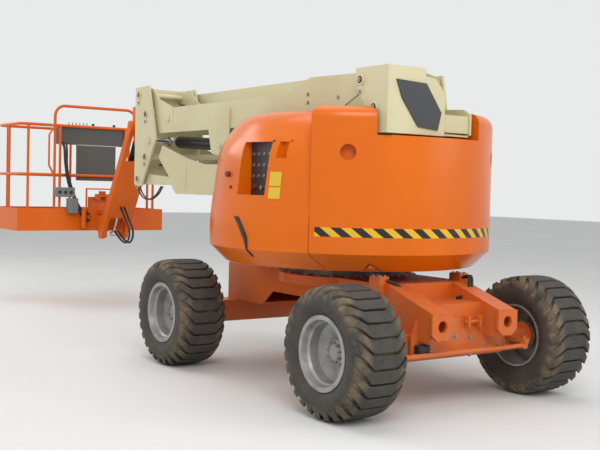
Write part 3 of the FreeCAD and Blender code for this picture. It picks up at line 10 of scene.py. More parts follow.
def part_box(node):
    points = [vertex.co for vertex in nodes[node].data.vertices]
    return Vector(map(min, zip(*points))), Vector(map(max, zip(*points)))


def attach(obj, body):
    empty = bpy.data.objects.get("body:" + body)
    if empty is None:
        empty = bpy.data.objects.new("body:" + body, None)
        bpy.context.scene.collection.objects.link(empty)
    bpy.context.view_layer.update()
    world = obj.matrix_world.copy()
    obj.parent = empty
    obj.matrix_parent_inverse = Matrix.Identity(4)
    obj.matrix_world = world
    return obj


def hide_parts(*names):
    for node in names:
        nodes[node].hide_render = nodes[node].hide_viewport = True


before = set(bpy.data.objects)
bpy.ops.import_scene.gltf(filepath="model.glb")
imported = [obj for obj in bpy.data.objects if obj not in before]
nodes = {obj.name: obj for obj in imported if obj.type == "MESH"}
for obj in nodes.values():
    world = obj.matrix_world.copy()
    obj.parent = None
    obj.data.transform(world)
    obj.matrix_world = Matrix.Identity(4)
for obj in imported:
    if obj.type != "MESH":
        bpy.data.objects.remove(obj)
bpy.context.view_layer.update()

# Camera: it stands off the machine's left rear corner, 1.4 m above the ground, and looks along
# the chassis through a short telephoto lens, as the photograph does.
PHOTO_WIDTH = 600
FOCAL_PIXELS = 960.3
EYE = Vector((-5.741, 4.508, 1.421))
YAW, PITCH, ROLL = (math.radians(angle) for angle in (-35.24, -2.15, 1.43))

ahead = Vector((math.cos(PITCH) * math.cos(YAW), math.cos(PITCH) * math.sin(YAW),
                math.sin(PITCH)))
level_right = ahead.cross(Vector((0, 0, 1))).normalized()
level_up = level_right.cross(ahead)
right = level_right * math.cos(ROLL) + level_up * math.sin(ROLL)
up = level_up * math.cos(ROLL) - level_right * math.sin(ROLL)
lens = bpy.data.cameras.new("photo_camera")
lens.sensor_width = 36
lens.lens = FOCAL_PIXELS / PHOTO_WIDTH * lens.sensor_width
lens.clip_end = 200
camera = bpy.data.objects.new("photo_camera", lens)
camera.matrix_world = Matrix((right, up, -ahead)).transposed().to_4x4()
camera.location = EYE
bpy.context.scene.collection.objects.link(camera)
bpy.context.scene.camera = camera
bpy.context.scene.view_settings.view_transform = "Standard"


# Studio: a pale matt floor and backdrop under broad soft lamps. The world shows pale to the
# camera and in gloss, and lights the machine at a plain level.
def linear(code):
    """The linear colour of an sRGB hex value."""
    parts = [int(code[i:i + 2], 16) / 255 for i in (1, 3, 5)]
    return [c / 12.92 if c <= 0.04045 else ((c + 0.055) / 1.055) ** 2.4 for c in parts] + [1]


def add(tree, kind, sockets=None, **settings):
    """Adds a node with its settings; a socket takes a value or another node's output."""
    made = tree.nodes.new(kind)
    for name, value in settings.items():
        setattr(made, name, value)
    for name, value in (sockets or {}).items():
        if isinstance(value, bpy.types.NodeSocket):
            tree.links.new(value, made.inputs[name])
        else:
            made.inputs[name].default_value = value
    return made


def blank(name):
    """A material with a principled shader alone."""
    made = bpy.data.materials.new(name)
    made.use_nodes = True
    made.node_tree.nodes.clear()
    shader = add(made.node_tree, "ShaderNodeBsdfPrincipled")
    add(made.node_tree, "ShaderNodeOutputMaterial", {"Surface": shader.outputs[0]})
    return made, made.node_tree, shader


FLOOR_HALF = 40
WORLD_LIGHT = 0.75
world = bpy.data.worlds.new("studio")
bpy.context.scene.world = world
world.use_nodes = True
world.node_tree.nodes.clear()
path = add(world.node_tree, "ShaderNodeLightPath")
seen = path.outputs["Is Camera Ray"]
for ray in ("Is Glossy Ray", "Is Transmission Ray"):
    seen = add(world.node_tree, "ShaderNodeMath", {0: seen, 1: path.outputs[ray]},
               operation="MAXIMUM").outputs[0]
lit = add(world.node_tree, "ShaderNodeBackground", {"Color": linear("#EEF1F4"),
                                                    "Strength": WORLD_LIGHT})
shown = add(world.node_tree, "ShaderNodeBackground", {"Color": linear("#E9EAEA"),
                                                      "Strength": 1})
both = add(world.node_tree, "ShaderNodeMixShader", {0: seen, 1: lit.outputs[0],
                                                    2: shown.outputs[0]})
add(world.node_tree, "ShaderNodeOutputWorld", {"Surface": both.outputs[0]})

# Matt painted board: pale grey, clouded over a metre or two so that it isn't a blank sheet.
floor_paint, tree, shader = blank("matt_studio_floor")
shader.inputs["Roughness"].default_value = 0.9
where = add(tree, "ShaderNodeTexCoord")
mottle = add(tree, "ShaderNodeTexNoise", {"Vector": where.outputs["Object"], "Scale": 0.6})
tone = add(tree, "ShaderNodeMix", {0: mottle.outputs["Fac"], 6: linear("#D3D2CE"),
                                   7: linear("#DCDBD8")}, data_type="RGBA")
tree.links.new(tone.outputs[2], shader.inputs["Base Color"])
floor_mesh = bpy.data.meshes.new("studio_floor")
floor_mesh.from_pydata([(x * FLOOR_HALF, y * FLOOR_HALF, 0) for x, y in
                        ((-1, -1), (1, -1), (1, 1), (-1, 1))], [], [(0, 1, 2, 3)])
floor_mesh.materials.append(floor_paint)
floor = bpy.data.objects.new("studio_floor", floor_mesh)
bpy.context.scene.collection.objects.link(floor)

LAMPS = [
    # name, place, aimed at, width, watts
    ("key", (-7.5, 5.0, 7.5), (0, 0, 1.2), 5.0, 520),
    ("fill", (-8.0, -6.0, 4.5), (0, 0, 1.2), 5.0, 200),
    ("front", (8.5, 4.5, 6.0), (2.5, 0, 1.2), 5.0, 250),
    ("top", (1.0, 0.0, 9.0), (1.0, 0, 0), 6.0, 210),
]
for name, place, target, width, watts in LAMPS:
    lamp = bpy.data.lights.new(name + "_lamp", "AREA")
    lamp.size = width
    lamp.energy = watts
    holder = bpy.data.objects.new(name + "_lamp", lamp)
    holder.location = place
    aim = Vector(target) - Vector(place)
    holder.rotation_euler = aim.to_track_quat("-Z", "Y").to_euler()
    bpy.context.scene.collection.objects.link(holder)


# Chassis and axles: welded steel plate under orange two-pack enamel, dusty and splashed near
# the ground, with bare metal where stones have chipped its edges.
def enamel(name, colour, faded, dust="#8F7F68", chip="#5B4A3F", dusty=0.35, splash=0.5,
           worn=0.5, rough=0.34):
    """Sprayed enamel: slow fading, dust on what faces up, splashes low down, chipped edges.

    Fading runs over half a metre, dust and splashes lie in 40 mm patches and chips in 25 mm
    ones. The gloss is a satin one, and dirt and bare metal take it away.
    """
    made, tree, shader = blank(name)
    place = add(tree, "ShaderNodeTexCoord").outputs["Object"]
    geometry = add(tree, "ShaderNodeNewGeometry")
    clouds = add(tree, "ShaderNodeTexNoise", {"Vector": place, "Scale": 1.9, "Detail": 5.0})
    fading = add(tree, "ShaderNodeMapRange", {"Value": clouds.outputs["Fac"], "From Min": 0.35,
                                              "From Max": 0.7})
    tone = add(tree, "ShaderNodeMix", {0: fading.outputs[0], 6: linear(colour),
                                       7: linear(faded)}, data_type="RGBA")
    grains = add(tree, "ShaderNodeTexNoise", {"Vector": place, "Scale": 26.0, "Detail": 8.0,
                                              "Roughness": 0.7})
    facing = add(tree, "ShaderNodeSeparateXYZ", {0: geometry.outputs["Normal"]})
    upward = add(tree, "ShaderNodeMapRange", {"Value": facing.outputs["Z"], "From Min": 0.4,
                                              "From Max": 1.0, "To Max": dusty})
    height = add(tree, "ShaderNodeSeparateXYZ", {0: place})
    low = add(tree, "ShaderNodeMapRange", {"Value": height.outputs["Z"], "From Min": 0.2,
                                           "From Max": 0.95, "To Min": splash, "To Max": 0.0})
    dirt = add(tree, "ShaderNodeMath", {0: upward.outputs[0], 1: low.outputs[0]},
               operation="MAXIMUM")
    speckle = add(tree, "ShaderNodeMapRange", {"Value": grains.outputs["Fac"],
                                               "From Min": 0.38, "From Max": 0.68})
    dirty = add(tree, "ShaderNodeMath", {0: dirt.outputs[0], 1: speckle.outputs[0]},
                operation="MULTIPLY")
    dusted = add(tree, "ShaderNodeMix", {0: dirty.outputs[0], 6: tone.outputs[2],
                                         7: linear(dust)}, data_type="RGBA")
    # The rounded normal differs from the flat one only along edges, where paint chips first.
    rounded = add(tree, "ShaderNodeBevel", {"Radius": 0.004}, samples=4)
    cosine = add(tree, "ShaderNodeVectorMath", {0: rounded.outputs[0],
                                                1: geometry.outputs["True Normal"]},
                 operation="DOT_PRODUCT")
    edge = add(tree, "ShaderNodeMapRange", {"Value": cosine.outputs["Value"], "From Min": 0.97,
                                            "From Max": 0.8, "To Max": worn})
    scars = add(tree, "ShaderNodeTexNoise", {"Vector": place, "Scale": 42.0, "Detail": 6.0})
    scarred = add(tree, "ShaderNodeMapRange", {"Value": scars.outputs["Fac"], "From Min": 0.52,
                                               "From Max": 0.6})
    chipped = add(tree, "ShaderNodeMath", {0: edge.outputs[0], 1: scarred.outputs[0]},
                  operation="MULTIPLY")
    final = add(tree, "ShaderNodeMix", {0: chipped.outputs[0], 6: dusted.outputs[2],
                                        7: linear(chip)}, data_type="RGBA")
    matt = add(tree, "ShaderNodeMath", {0: dirty.outputs[0], 1: chipped.outputs[0]},
               operation="ADD")
    roughness = add(tree, "ShaderNodeMapRange", {"Value": matt.outputs[0], "To Min": rough,
                                                 "To Max": 0.85})
    # Orange peel of sprayed paint, about 3 mm across.
    peel = add(tree, "ShaderNodeTexNoise", {"Vector": place, "Scale": 330.0, "Detail": 1.0})
    bump = add(tree, "ShaderNodeBump", {"Height": peel.outputs["Fac"], "Strength": 0.06,
                                        "Distance": 0.002, "Normal": rounded.outputs[0]})
    for socket, value in (("Base Color", final.outputs[2]), ("Normal", bump.outputs[0]),
                          ("Roughness", roughness.outputs[0])):
        tree.links.new(value, shader.inputs[socket])
    shader.inputs["Specular IOR Level"].default_value = 0.32
    return made


def dress(material, *names):
    """Gives CAD nodes their finish."""
    for name in names:
        mesh = nodes[name].data
        mesh.materials.clear()
        mesh.materials.append(material)


def mesh_of(name, points, faces):
    """The mesh of given points and faces."""
    made = bpy.data.meshes.new(name)
    made.from_pydata([tuple(p) for p in points], [], faces)
    made.validate()
    return made


def piece(name, mesh, material, body, smooth=None, bevel=None):
    """A finished piece at the origin that rides on a body and takes the given finish."""
    made = bpy.data.objects.new(name, mesh)
    bpy.context.scene.collection.objects.link(made)
    if material is not None:
        mesh.materials.clear()
        mesh.materials.append(material)
    if bevel:
        edges = made.modifiers.new("eased_edges", "BEVEL")
        edges.width = bevel
        edges.segments = 2
        edges.limit_method = "ANGLE"
        edges.angle_limit = math.radians(40)
    if smooth is not None:
        mesh.shade_smooth()
        mesh.set_sharp_from_angle(angle=math.radians(smooth))
    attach(made, body)
    return made


def prism(bm, sides, radius, low, high, centre=(0, 0, 0), axis="Y", taper=1.0, turn=0.0):
    """Adds a closed prism or a cone's stump along an axis to a bmesh."""
    rings = []
    for level, r in ((low, radius), (high, radius * taper)):
        ring = []
        for i in range(sides):
            angle = 2 * math.pi * i / sides + turn
            u, v = r * math.cos(angle), r * math.sin(angle)
            spot = {"X": (level, u, v), "Y": (v, level, u), "Z": (u, v, level)}[axis]
            ring.append(bm.verts.new(Vector(spot) + Vector(centre)))
        rings.append(ring)
    for i in range(sides):
        j = (i + 1) % sides
        bm.faces.new((rings[0][i], rings[0][j], rings[1][j], rings[1][i]))
    bm.faces.new(rings[0][::-1])
    bm.faces.new(rings[1])


def brick(bm, low, high):
    """Adds a box between two corners to a bmesh."""
    spots = [bm.verts.new((x, y, z)) for x in (low[0], high[0]) for y in (low[1], high[1])
             for z in (low[2], high[2])]
    for face in ((0, 1, 3, 2), (4, 6, 7, 5), (0, 4, 5, 1), (2, 3, 7, 6), (0, 2, 6, 4),
                 (1, 5, 7, 3)):
        bm.faces.new([spots[i] for i in face])


def solid_mesh(name, bm):
    """The mesh of closed forms in a bmesh, their faces turned outwards."""
    bmesh.ops.recalc_face_normals(bm, faces=bm.faces)
    made = bpy.data.meshes.new(name)
    bm.to_mesh(made)
    bm.free()
    return made


def rod_between(bm, start, end, radius, sides=10, taper=1.0):
    """Adds a closed round bar between two points to a bmesh."""
    start, end = Vector(start), Vector(end)
    length = (end - start).length
    turn = (end - start).to_track_quat("Z", "Y").to_matrix().to_4x4()
    known = set(bm.verts)
    prism(bm, sides, radius, 0, length, axis="Z", taper=taper)
    made = [vert for vert in bm.verts if vert not in known]
    bmesh.ops.transform(bm, matrix=Matrix.Translation(start) @ turn, verts=made)


def smooth_path(points, steps=6):
    """Points along a soft curve that goes through the given ones."""
    points = [Vector(p) for p in points]
    ends = [2 * points[0] - points[1]] + points + [2 * points[-1] - points[-2]]
    path = []
    for a, b, c, d in zip(ends, ends[1:], ends[2:], ends[3:]):
        for i in range(steps):
            t = i / steps
            path.append(0.5 * (2 * b + (c - a) * t + (2 * a - 5 * b + 4 * c - d) * t * t +
                               (3 * b - a - 3 * c + d) * t ** 3))
    return path + [points[-1]]


def hose(bm, points, radius, sides=10):
    """Adds a round tube along a soft curve to a bmesh, its ends closed."""
    path = smooth_path(points)
    side = None
    rings = []
    for i, spot in enumerate(path):
        along = (path[min(i + 1, len(path) - 1)] - path[max(i - 1, 0)]).normalized()
        side = along.orthogonal() if side is None else side - along * side.dot(along)
        side.normalize()
        across = along.cross(side)
        rings.append([bm.verts.new(spot + radius * (side * math.cos(a) + across * math.sin(a)))
                      for a in (2 * math.pi * k / sides for k in range(sides))])
    for first, second in zip(rings, rings[1:]):
        for k in range(sides):
            j = (k + 1) % sides
            bm.faces.new((first[k], first[j], second[j], second[k]))
    bm.faces.new(rings[0][::-1])
    bm.faces.new(rings[-1])


def bolt(bm, axis, sign, spot, radius):
    """Adds a washer and a hexagon head that stand on a face; the axis and sign point out."""
    for sides, size, low, high in ((16, 1.55, -0.2, 0.25), (6, 1.0, 0.25, 0.95)):
        ends = sorted((sign * low * radius, sign * high * radius))
        prism(bm, sides, size * radius, ends[0], ends[1], spot, axis, turn=spot[0] * 7)


def bolts(name, rows, material, body):
    """One piece of many bolt heads; a row holds axis, sign, x, y, z and the head's radius."""
    bm = bmesh.new()
    for axis, sign, x, y, z, radius in rows:
        bolt(bm, axis, sign, (x, y, z), radius)
    return piece(name, solid_mesh(name, bm), material, body, smooth=30)


chassis_enamel = enamel("orange_chassis_enamel", "#D8620A", "#CC5A0B", splash=0.75, dusty=0.5)
dress(chassis_enamel, "chassis_frame", "drive_axle", "steer_axle", "knuckle_left",
      "knuckle_right", "tie_rod")
# Forged and turned steel, bare but for a brown bloom of rust in 70 mm clouds.
steel, tree, shader = blank("forged_steel")
shader.inputs["Metallic"].default_value = 0.9
place = add(tree, "ShaderNodeTexCoord").outputs["Object"]
rust = add(tree, "ShaderNodeTexNoise", {"Vector": place, "Scale": 14.0, "Detail": 7.0})
tone = add(tree, "ShaderNodeValToRGB", {0: rust.outputs["Fac"]})
for stop, spot, colour in zip(tone.color_ramp.elements, (0.4, 0.72), ("#77736C", "#6A4A35")):
    stop.position, stop.color = spot, linear(colour)
tree.links.new(tone.outputs[0], shader.inputs["Base Color"])
gloss = add(tree, "ShaderNodeMapRange", {"Value": rust.outputs["Fac"], "To Min": 0.35,
                                         "To Max": 0.7})
tree.links.new(gloss.outputs[0], shader.inputs["Roughness"])
dress(steel, "slew_ring")


def plain(name, colour, second, rough=0.5, metal=0.0, scale=40.0, grain=0.0):
    """One moulded or plated finish: two tones in cloud, an even gloss and a light grain.

    The clouds are 1000 / scale mm across, and the pebble grain of a mould is 2 mm.
    """
    made, tree, shader = blank(name)
    place = add(tree, "ShaderNodeTexCoord").outputs["Object"]
    cloud = add(tree, "ShaderNodeTexNoise", {"Vector": place, "Scale": scale, "Detail": 6.0})
    tone = add(tree, "ShaderNodeMix", {0: cloud.outputs["Fac"], 6: linear(colour),
                                       7: linear(second)}, data_type="RGBA")
    sheen = add(tree, "ShaderNodeMapRange", {"Value": cloud.outputs["Fac"],
                                             "To Min": rough * 0.8, "To Max": rough * 1.25})
    tree.links.new(tone.outputs[2], shader.inputs["Base Color"])
    tree.links.new(sheen.outputs[0], shader.inputs["Roughness"])
    if grain:
        pebble = add(tree, "ShaderNodeTexNoise", {"Vector": place, "Scale": 450.0})
        bump = add(tree, "ShaderNodeBump", {"Height": pebble.outputs["Fac"],
                                            "Strength": grain, "Distance": 0.001})
        tree.links.new(bump.outputs[0], shader.inputs["Normal"])
    shader.inputs["Metallic"].default_value = metal
    return made


# Zinc plate dulls to a warm grey. Moulded rubber is near black, matt and finely pebbled.
zinc = plain("zinc_plated_fasteners", "#A9A79D", "#8C877A", rough=0.4, metal=0.9)
rubber_black = plain("moulded_black_rubber", "#1C1C1D", "#2C2B2A", rough=0.6, grain=0.3)

# The shield's rear face, the slewing ring's bolts and the two lock-out blocks by the axle.
SHIELD_X = -1.2062
RING_BOLTS, RING_CIRCLE, DECK_Z = 28, 0.478, 0.8
LOCK_Y, LOCK_TOP = 0.37, 0.85
rows = [("X", -1, SHIELD_X, y, z, 0.011) for y, z in (
    (-0.105, 0.350), (-0.108, 0.464), (0.030, 0.480), (-0.370, 0.385), (0.250, 0.385))]
for i in range(RING_BOLTS):
    angle = 2 * math.pi * i / RING_BOLTS
    rows.append(("Z", 1, RING_CIRCLE * math.cos(angle), RING_CIRCLE * math.sin(angle), DECK_Z,
                 0.009))
rows += [("Z", 1, x, side * LOCK_Y + y, LOCK_TOP, 0.010) for side in (1, -1)
         for x in (-0.85, -0.78) for y in (-0.02, 0.02)]
bolts("chassis_fasteners", rows, zinc, "chassis")

bm = bmesh.new()
brick(bm, (SHIELD_X - 0.055, 0.300, 0.392), (SHIELD_X, 0.395, 0.448))
piece("chassis_bumper", solid_mesh("chassis_bumper", bm), rubber_black, "chassis",
      smooth=30, bevel=0.01)
bm = bmesh.new()
brick(bm, (SHIELD_X - 0.060, 0.285, 0.372), (SHIELD_X, 0.410, 0.390))
for y in (-0.165, -0.060):
    brick(bm, (-1.255, y, 0.535), (-1.188, y + 0.018, 0.610))
rod_between(bm, (-1.232, -0.175, 0.572), (-1.232, -0.030, 0.572), 0.011)
for side in (1, -1):
    # Gussets under the lock-out blocks.
    brick(bm, (-0.760, side * 0.372 - 0.006, 0.700), (-0.700, side * 0.372 + 0.006, 0.780))
piece("chassis_brackets", solid_mesh("chassis_brackets", bm), chassis_enamel, "chassis",
      smooth=30, bevel=0.003)
bm = bmesh.new()
for shift in (0.0, 0.026):
    hose(bm, [(-0.872, -0.380 + shift, 0.825), (-0.935, -0.372 + shift, 0.835),
              (-0.985, -0.330 + shift, 0.775), (-1.000, -0.270 + shift, 0.715),
              (-0.995, -0.205 + shift, 0.700)], 0.0105)
hose(bm, [(-0.872, 0.350, 0.825), (-0.925, 0.300, 0.800), (-0.960, 0.215, 0.720),
          (-0.990, 0.150, 0.700)], 0.0105)
piece("chassis_hoses", solid_mesh("chassis_hoses", bm), rubber_black, "chassis",
      smooth=60)


# Wheels: wide flotation tyres whose straight bars turn over the shoulders, on silver-sprayed
# steel rims. Earth sits in the grooves and the bars' tops are scuffed grey.
TYRE_RADIUS, BEAD_RADIUS = 0.419, 0.2223
BARS = 28
# Half the carcass's section, from its bead to its middle: across the wheel, radius.
CARCASS = [(0.153, BEAD_RADIUS), (0.168, 0.240), (0.185, 0.266), (0.196, 0.300),
           (0.195, 0.330), (0.186, 0.360), (0.165, 0.382), (0.120, 0.390), (0.060, 0.393),
           (0.0, 0.394)]
CARCASS_STEPS = 96
# A tread bar from its middle to its end: across the wheel, how far it trails, radius of its
# top, half its breadth round the wheel.
BAR = [(0.0, 0.0, 0.419, 0.039), (0.085, 0.0, 0.4185, 0.039), (0.100, 0.006, 0.418, 0.038),
       (0.132, 0.036, 0.415, 0.032), (0.160, 0.062, 0.408, 0.029),
       (0.180, 0.080, 0.393, 0.027), (0.190, 0.088, 0.366, 0.025),
       (0.193, 0.092, 0.338, 0.021)]


def turn_points(section, count):
    """A ring of a section's (across, radius) points turned about the wheel's axle along Y."""
    points, faces = [], []
    size = len(section)
    for i in range(count):
        angle = 2 * math.pi * i / count
        points += [(r * math.sin(angle), y, r * math.cos(angle)) for y, r in section]
    for i in range(count):
        j = (i + 1) % count
        faces += [(i * size + k, j * size + k, j * size + k + 1, i * size + k + 1)
                  for k in range(size - 1)]
    return points, faces


def tyre_bar():
    """One tread bar, its foot sunk in the carcass, with eased top edges."""
    stations = [(-y, trail, top, half) for y, trail, top, half in reversed(BAR[1:])] + BAR
    points, faces = [], []
    for y, trail, top, half in stations:
        sink = 0.05 if top > 0.37 else 0.03
        for along, radius in ((-half, top - sink), (-half, top - 0.004), (-half + 0.005, top),
                              (half - 0.005, top), (half, top - 0.004), (half, top - sink)):
            angle = (along + trail) / TYRE_RADIUS
            points.append((radius * math.sin(angle), y, radius * math.cos(angle)))
    size = 6
    for i in range(len(stations) - 1):
        a, b = i * size, (i + 1) * size
        faces += [(a + k, b + k, b + (k + 1) % size, a + (k + 1) % size) for k in range(size)]
    last = (len(stations) - 1) * size
    faces += [tuple(range(size)), tuple(last + k for k in reversed(range(size)))]
    return points, faces


def around_tree():
    """Geometry Nodes that set a shape out in a ring about Y."""
    tree = bpy.data.node_groups.new("ring_about_axle", "GeometryNodeTree")
    for name, kind in (("Shape", "NodeSocketGeometry"), ("Count", "NodeSocketInt"),
                       ("Material", "NodeSocketMaterial")):
        tree.interface.new_socket(name, in_out="INPUT", socket_type=kind)
    tree.interface.new_socket("Ring", in_out="OUTPUT", socket_type="NodeSocketGeometry")
    given = add(tree, "NodeGroupInput")
    points = add(tree, "GeometryNodePoints", {"Count": given.outputs["Count"]})
    index = add(tree, "GeometryNodeInputIndex")
    share = add(tree, "ShaderNodeMath", {0: index.outputs[0], 1: given.outputs["Count"]},
                operation="DIVIDE")
    angle = add(tree, "ShaderNodeMath", {0: share.outputs[0], 1: 2 * math.pi},
                operation="MULTIPLY")
    turn = add(tree, "ShaderNodeCombineXYZ", {"Y": angle.outputs[0]})
    ring = add(tree, "GeometryNodeInstanceOnPoints", {
        "Points": points.outputs[0], "Instance": given.outputs["Shape"],
        "Rotation": turn.outputs[0]})
    real = add(tree, "GeometryNodeRealizeInstances", {0: ring.outputs[0]})
    painted = add(tree, "GeometryNodeSetMaterial", {"Geometry": real.outputs[0],
                                                    "Material": given.outputs["Material"]})
    add(tree, "NodeGroupOutput", {0: painted.outputs[0]})
    return tree


ring_tree = around_tree()


def grown(mesh, tree, inputs):
    """The plain mesh that a Geometry Nodes tree makes of a mesh."""
    holder = bpy.data.objects.new("holder", mesh)
    bpy.context.scene.collection.objects.link(holder)
    growth = holder.modifiers.new("growth", "NODES")
    growth.node_group = tree
    names = {item.name: item.identifier for item in tree.interface.items_tree
             if item.in_out == "INPUT"}
    for name, value in inputs.items():
        growth[names[name]] = value
    graph = bpy.context.evaluated_depsgraph_get()
    made = bpy.data.meshes.new_from_object(holder.evaluated_get(graph))
    bpy.data.objects.remove(holder)
    return made


# Vulcanised rubber: black gone grey where it is scuffed, matt, with dried earth in patches of
# a hand's width wherever the groove attribute says that it holds.
rubber, tree, shader = blank("vulcanised_rubber")
place = add(tree, "ShaderNodeTexCoord").outputs["Object"]
depth = add(tree, "ShaderNodeAttribute", attribute_name="groove")
patches = add(tree, "ShaderNodeTexNoise", {"Vector": place, "Scale": 9.0, "Detail": 8.0,
                                           "Roughness": 0.65})
earth = add(tree, "ShaderNodeMapRange", {"Value": patches.outputs["Fac"], "From Min": 0.38,
                                         "From Max": 0.62})
muddy = add(tree, "ShaderNodeMath", {0: earth.outputs[0], 1: depth.outputs["Fac"]},
            operation="MULTIPLY")
scuffs = add(tree, "ShaderNodeTexNoise", {"Vector": place, "Scale": 55.0, "Detail": 6.0})
tone = add(tree, "ShaderNodeMix", {0: scuffs.outputs["Fac"], 6: linear("#242322"),
                                   7: linear("#4A4743")}, data_type="RGBA")
mud = add(tree, "ShaderNodeMix", {0: muddy.outputs[0], 6: tone.outputs[2],
                                  7: linear("#7C6B52")}, data_type="RGBA")
grain = add(tree, "ShaderNodeBump", {"Height": scuffs.outputs["Fac"], "Strength": 0.35,
                                     "Distance": 0.003})
tree.links.new(mud.outputs[2], shader.inputs["Base Color"])
tree.links.new(grain.outputs[0], shader.inputs["Normal"])
shader.inputs["Roughness"].default_value = 0.82

section = CARCASS + [(-y, r) for y, r in reversed(CARCASS[:-1])]
carcass_points, carcass_faces = turn_points(section, CARCASS_STEPS)
bar_ring = grown(mesh_of("tread_bar", *tyre_bar()), ring_tree, {"Count": BARS,
                                                                "Material": rubber})

# Silver spray on pressed steel: half metallic, satin, browned by brake dust in 90 mm clouds.
silver, tree, shader = blank("silver_sprayed_rim")
place = add(tree, "ShaderNodeTexCoord").outputs["Object"]
film = add(tree, "ShaderNodeTexNoise", {"Vector": place, "Scale": 11.0, "Detail": 7.0})
coat = add(tree, "ShaderNodeValToRGB", {0: film.outputs["Fac"]})
for stop, spot, colour in zip(coat.color_ramp.elements, (0.36, 0.72), ("#A4A5A3", "#8B8479")):
    stop.position, stop.color = spot, linear(colour)
matt = add(tree, "ShaderNodeMapRange", {"Value": film.outputs["Fac"], "To Min": 0.35,
                                        "To Max": 0.6})
rounded = add(tree, "ShaderNodeBevel", {"Radius": 0.004}, samples=4)
tree.links.new(coat.outputs[0], shader.inputs["Base Color"])
tree.links.new(matt.outputs[0], shader.inputs["Roughness"])
tree.links.new(rounded.outputs[0], shader.inputs["Normal"])
shader.inputs["Metallic"].default_value = 0.55

NUT_COUNT, NUT_CIRCLE, NUT_RADIUS, STUD_RADIUS = 9, 0.060, 0.0105, 0.0055
DISC_FACE = 0.0635
NUT_END, STUD_END = DISC_FACE + 0.016, DISC_FACE + 0.028
nut = bmesh.new()
prism(nut, 6, NUT_RADIUS, DISC_FACE, NUT_END, (0, 0, NUT_CIRCLE))
prism(nut, 10, STUD_RADIUS, NUT_END, STUD_END, (0, 0, NUT_CIRCLE), taper=0.8)
nut_ring = grown(solid_mesh("wheel_nut", nut), ring_tree, {"Count": NUT_COUNT,
                                                           "Material": silver})

for wheel in ("front_left", "front_right", "rear_left", "rear_right"):
    body = "wheel_" + wheel
    low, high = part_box("tyre_" + wheel)
    centre = (low + high) / 2
    side = 1 if "left" in wheel else -1
    spots = [Vector((x * side, y * side, z)) + centre for x, y, z in carcass_points]
    faces = list(carcass_faces)
    offset = len(spots)
    spots += [Vector((v.co.x * side, v.co.y * side, v.co.z)) + centre
              for v in bar_ring.vertices]
    faces += [tuple(i + offset for i in p.vertices) for p in bar_ring.polygons]
    rubber_mesh = mesh_of("tyre_" + wheel + "_tread", spots, faces)
    # Earth holds between the bars, and a little less over their ends on the shoulders.
    held = rubber_mesh.attributes.new("groove", "FLOAT", "POINT")
    for i, vertex in enumerate(rubber_mesh.vertices):
        radius = math.hypot(vertex.co.x - centre.x, vertex.co.z - centre.z)
        across = abs(vertex.co.y - centre.y)
        if i < offset:
            held.data[i].value = 1.0 if 0.335 < radius < 0.396 else 0.15
        else:
            held.data[i].value = 0.75 if across > 0.125 and radius > 0.36 else 0.12
    tyre = piece("tread_" + wheel, rubber_mesh, rubber, body, smooth=35)
    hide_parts("tyre_" + wheel)
    dress(silver, "rim_" + wheel)
    spots = [Vector((v.co.x, v.co.y * side, v.co.z)) + centre for v in nut_ring.vertices]
    flip = [tuple(p.vertices) if side > 0 else tuple(reversed(p.vertices))
            for p in nut_ring.polygons]
    piece("wheel_nuts_" + wheel, mesh_of("wheel_nuts", spots, flip), silver, body,
          smooth=30)


# Turntable: a steel deck and tower roots in orange enamel that carry a cast counterweight and
# two lifting hoods of glass fibre. Gelcoat is the smoothest and hardly chips, the casting
# chips a little, and the engine, tank and valves under the hoods are dusty dark grey.
turntable_enamel = enamel("orange_turntable_enamel", "#D8640A", "#CC5A0B", splash=0.3)
dress(turntable_enamel, "turntable_frame")
gelcoat = enamel("orange_gelcoat", "#DC6A06", "#D46204", dusty=0.22, splash=0.2, worn=0.12,
                 rough=0.2)
dress(gelcoat, "hood_left", "hood_right")
casting = enamel("orange_cast_iron", "#DC6A06", "#D46204", dusty=0.22, splash=0.2, worn=0.3,
                 rough=0.26)
dress(casting, "counterweight")
machinery = enamel("machinery_grey", "#3A3B3C", "#303132", dusty=0.4, splash=0.3, rough=0.5)
dress(machinery, "engine_block", "oil_tank", "valve_bank")


def skin_of(name):
    """A CAD node's skin, ready for rays to be cast on it."""
    mesh = nodes[name].data
    return BVHTree.FromPolygons([v.co for v in mesh.vertices],
                                [tuple(p.vertices) for p in mesh.polygons])


def laid_round(name, target, angles, heights, lift, across, rise=4):
    """A thin patch laid on a round node's outside, between two angles and two heights."""
    skin = skin_of(target)
    spots = []
    for i in range(across + 1):
        angle = math.radians(angles[0] + (angles[1] - angles[0]) * i / across)
        out = Vector((math.cos(angle), math.sin(angle), 0))
        for j in range(rise + 1):
            z = heights[0] + (heights[1] - heights[0]) * j / rise
            hit = skin.ray_cast(out * 1.4 + Vector((0, 0, z)), -out)[0]
            spots.append(hit + out * lift)
    faces = [(i * (rise + 1) + j, (i + 1) * (rise + 1) + j, (i + 1) * (rise + 1) + j + 1,
              i * (rise + 1) + j + 1) for i in range(across) for j in range(rise)]
    return mesh_of(name, spots, faces)


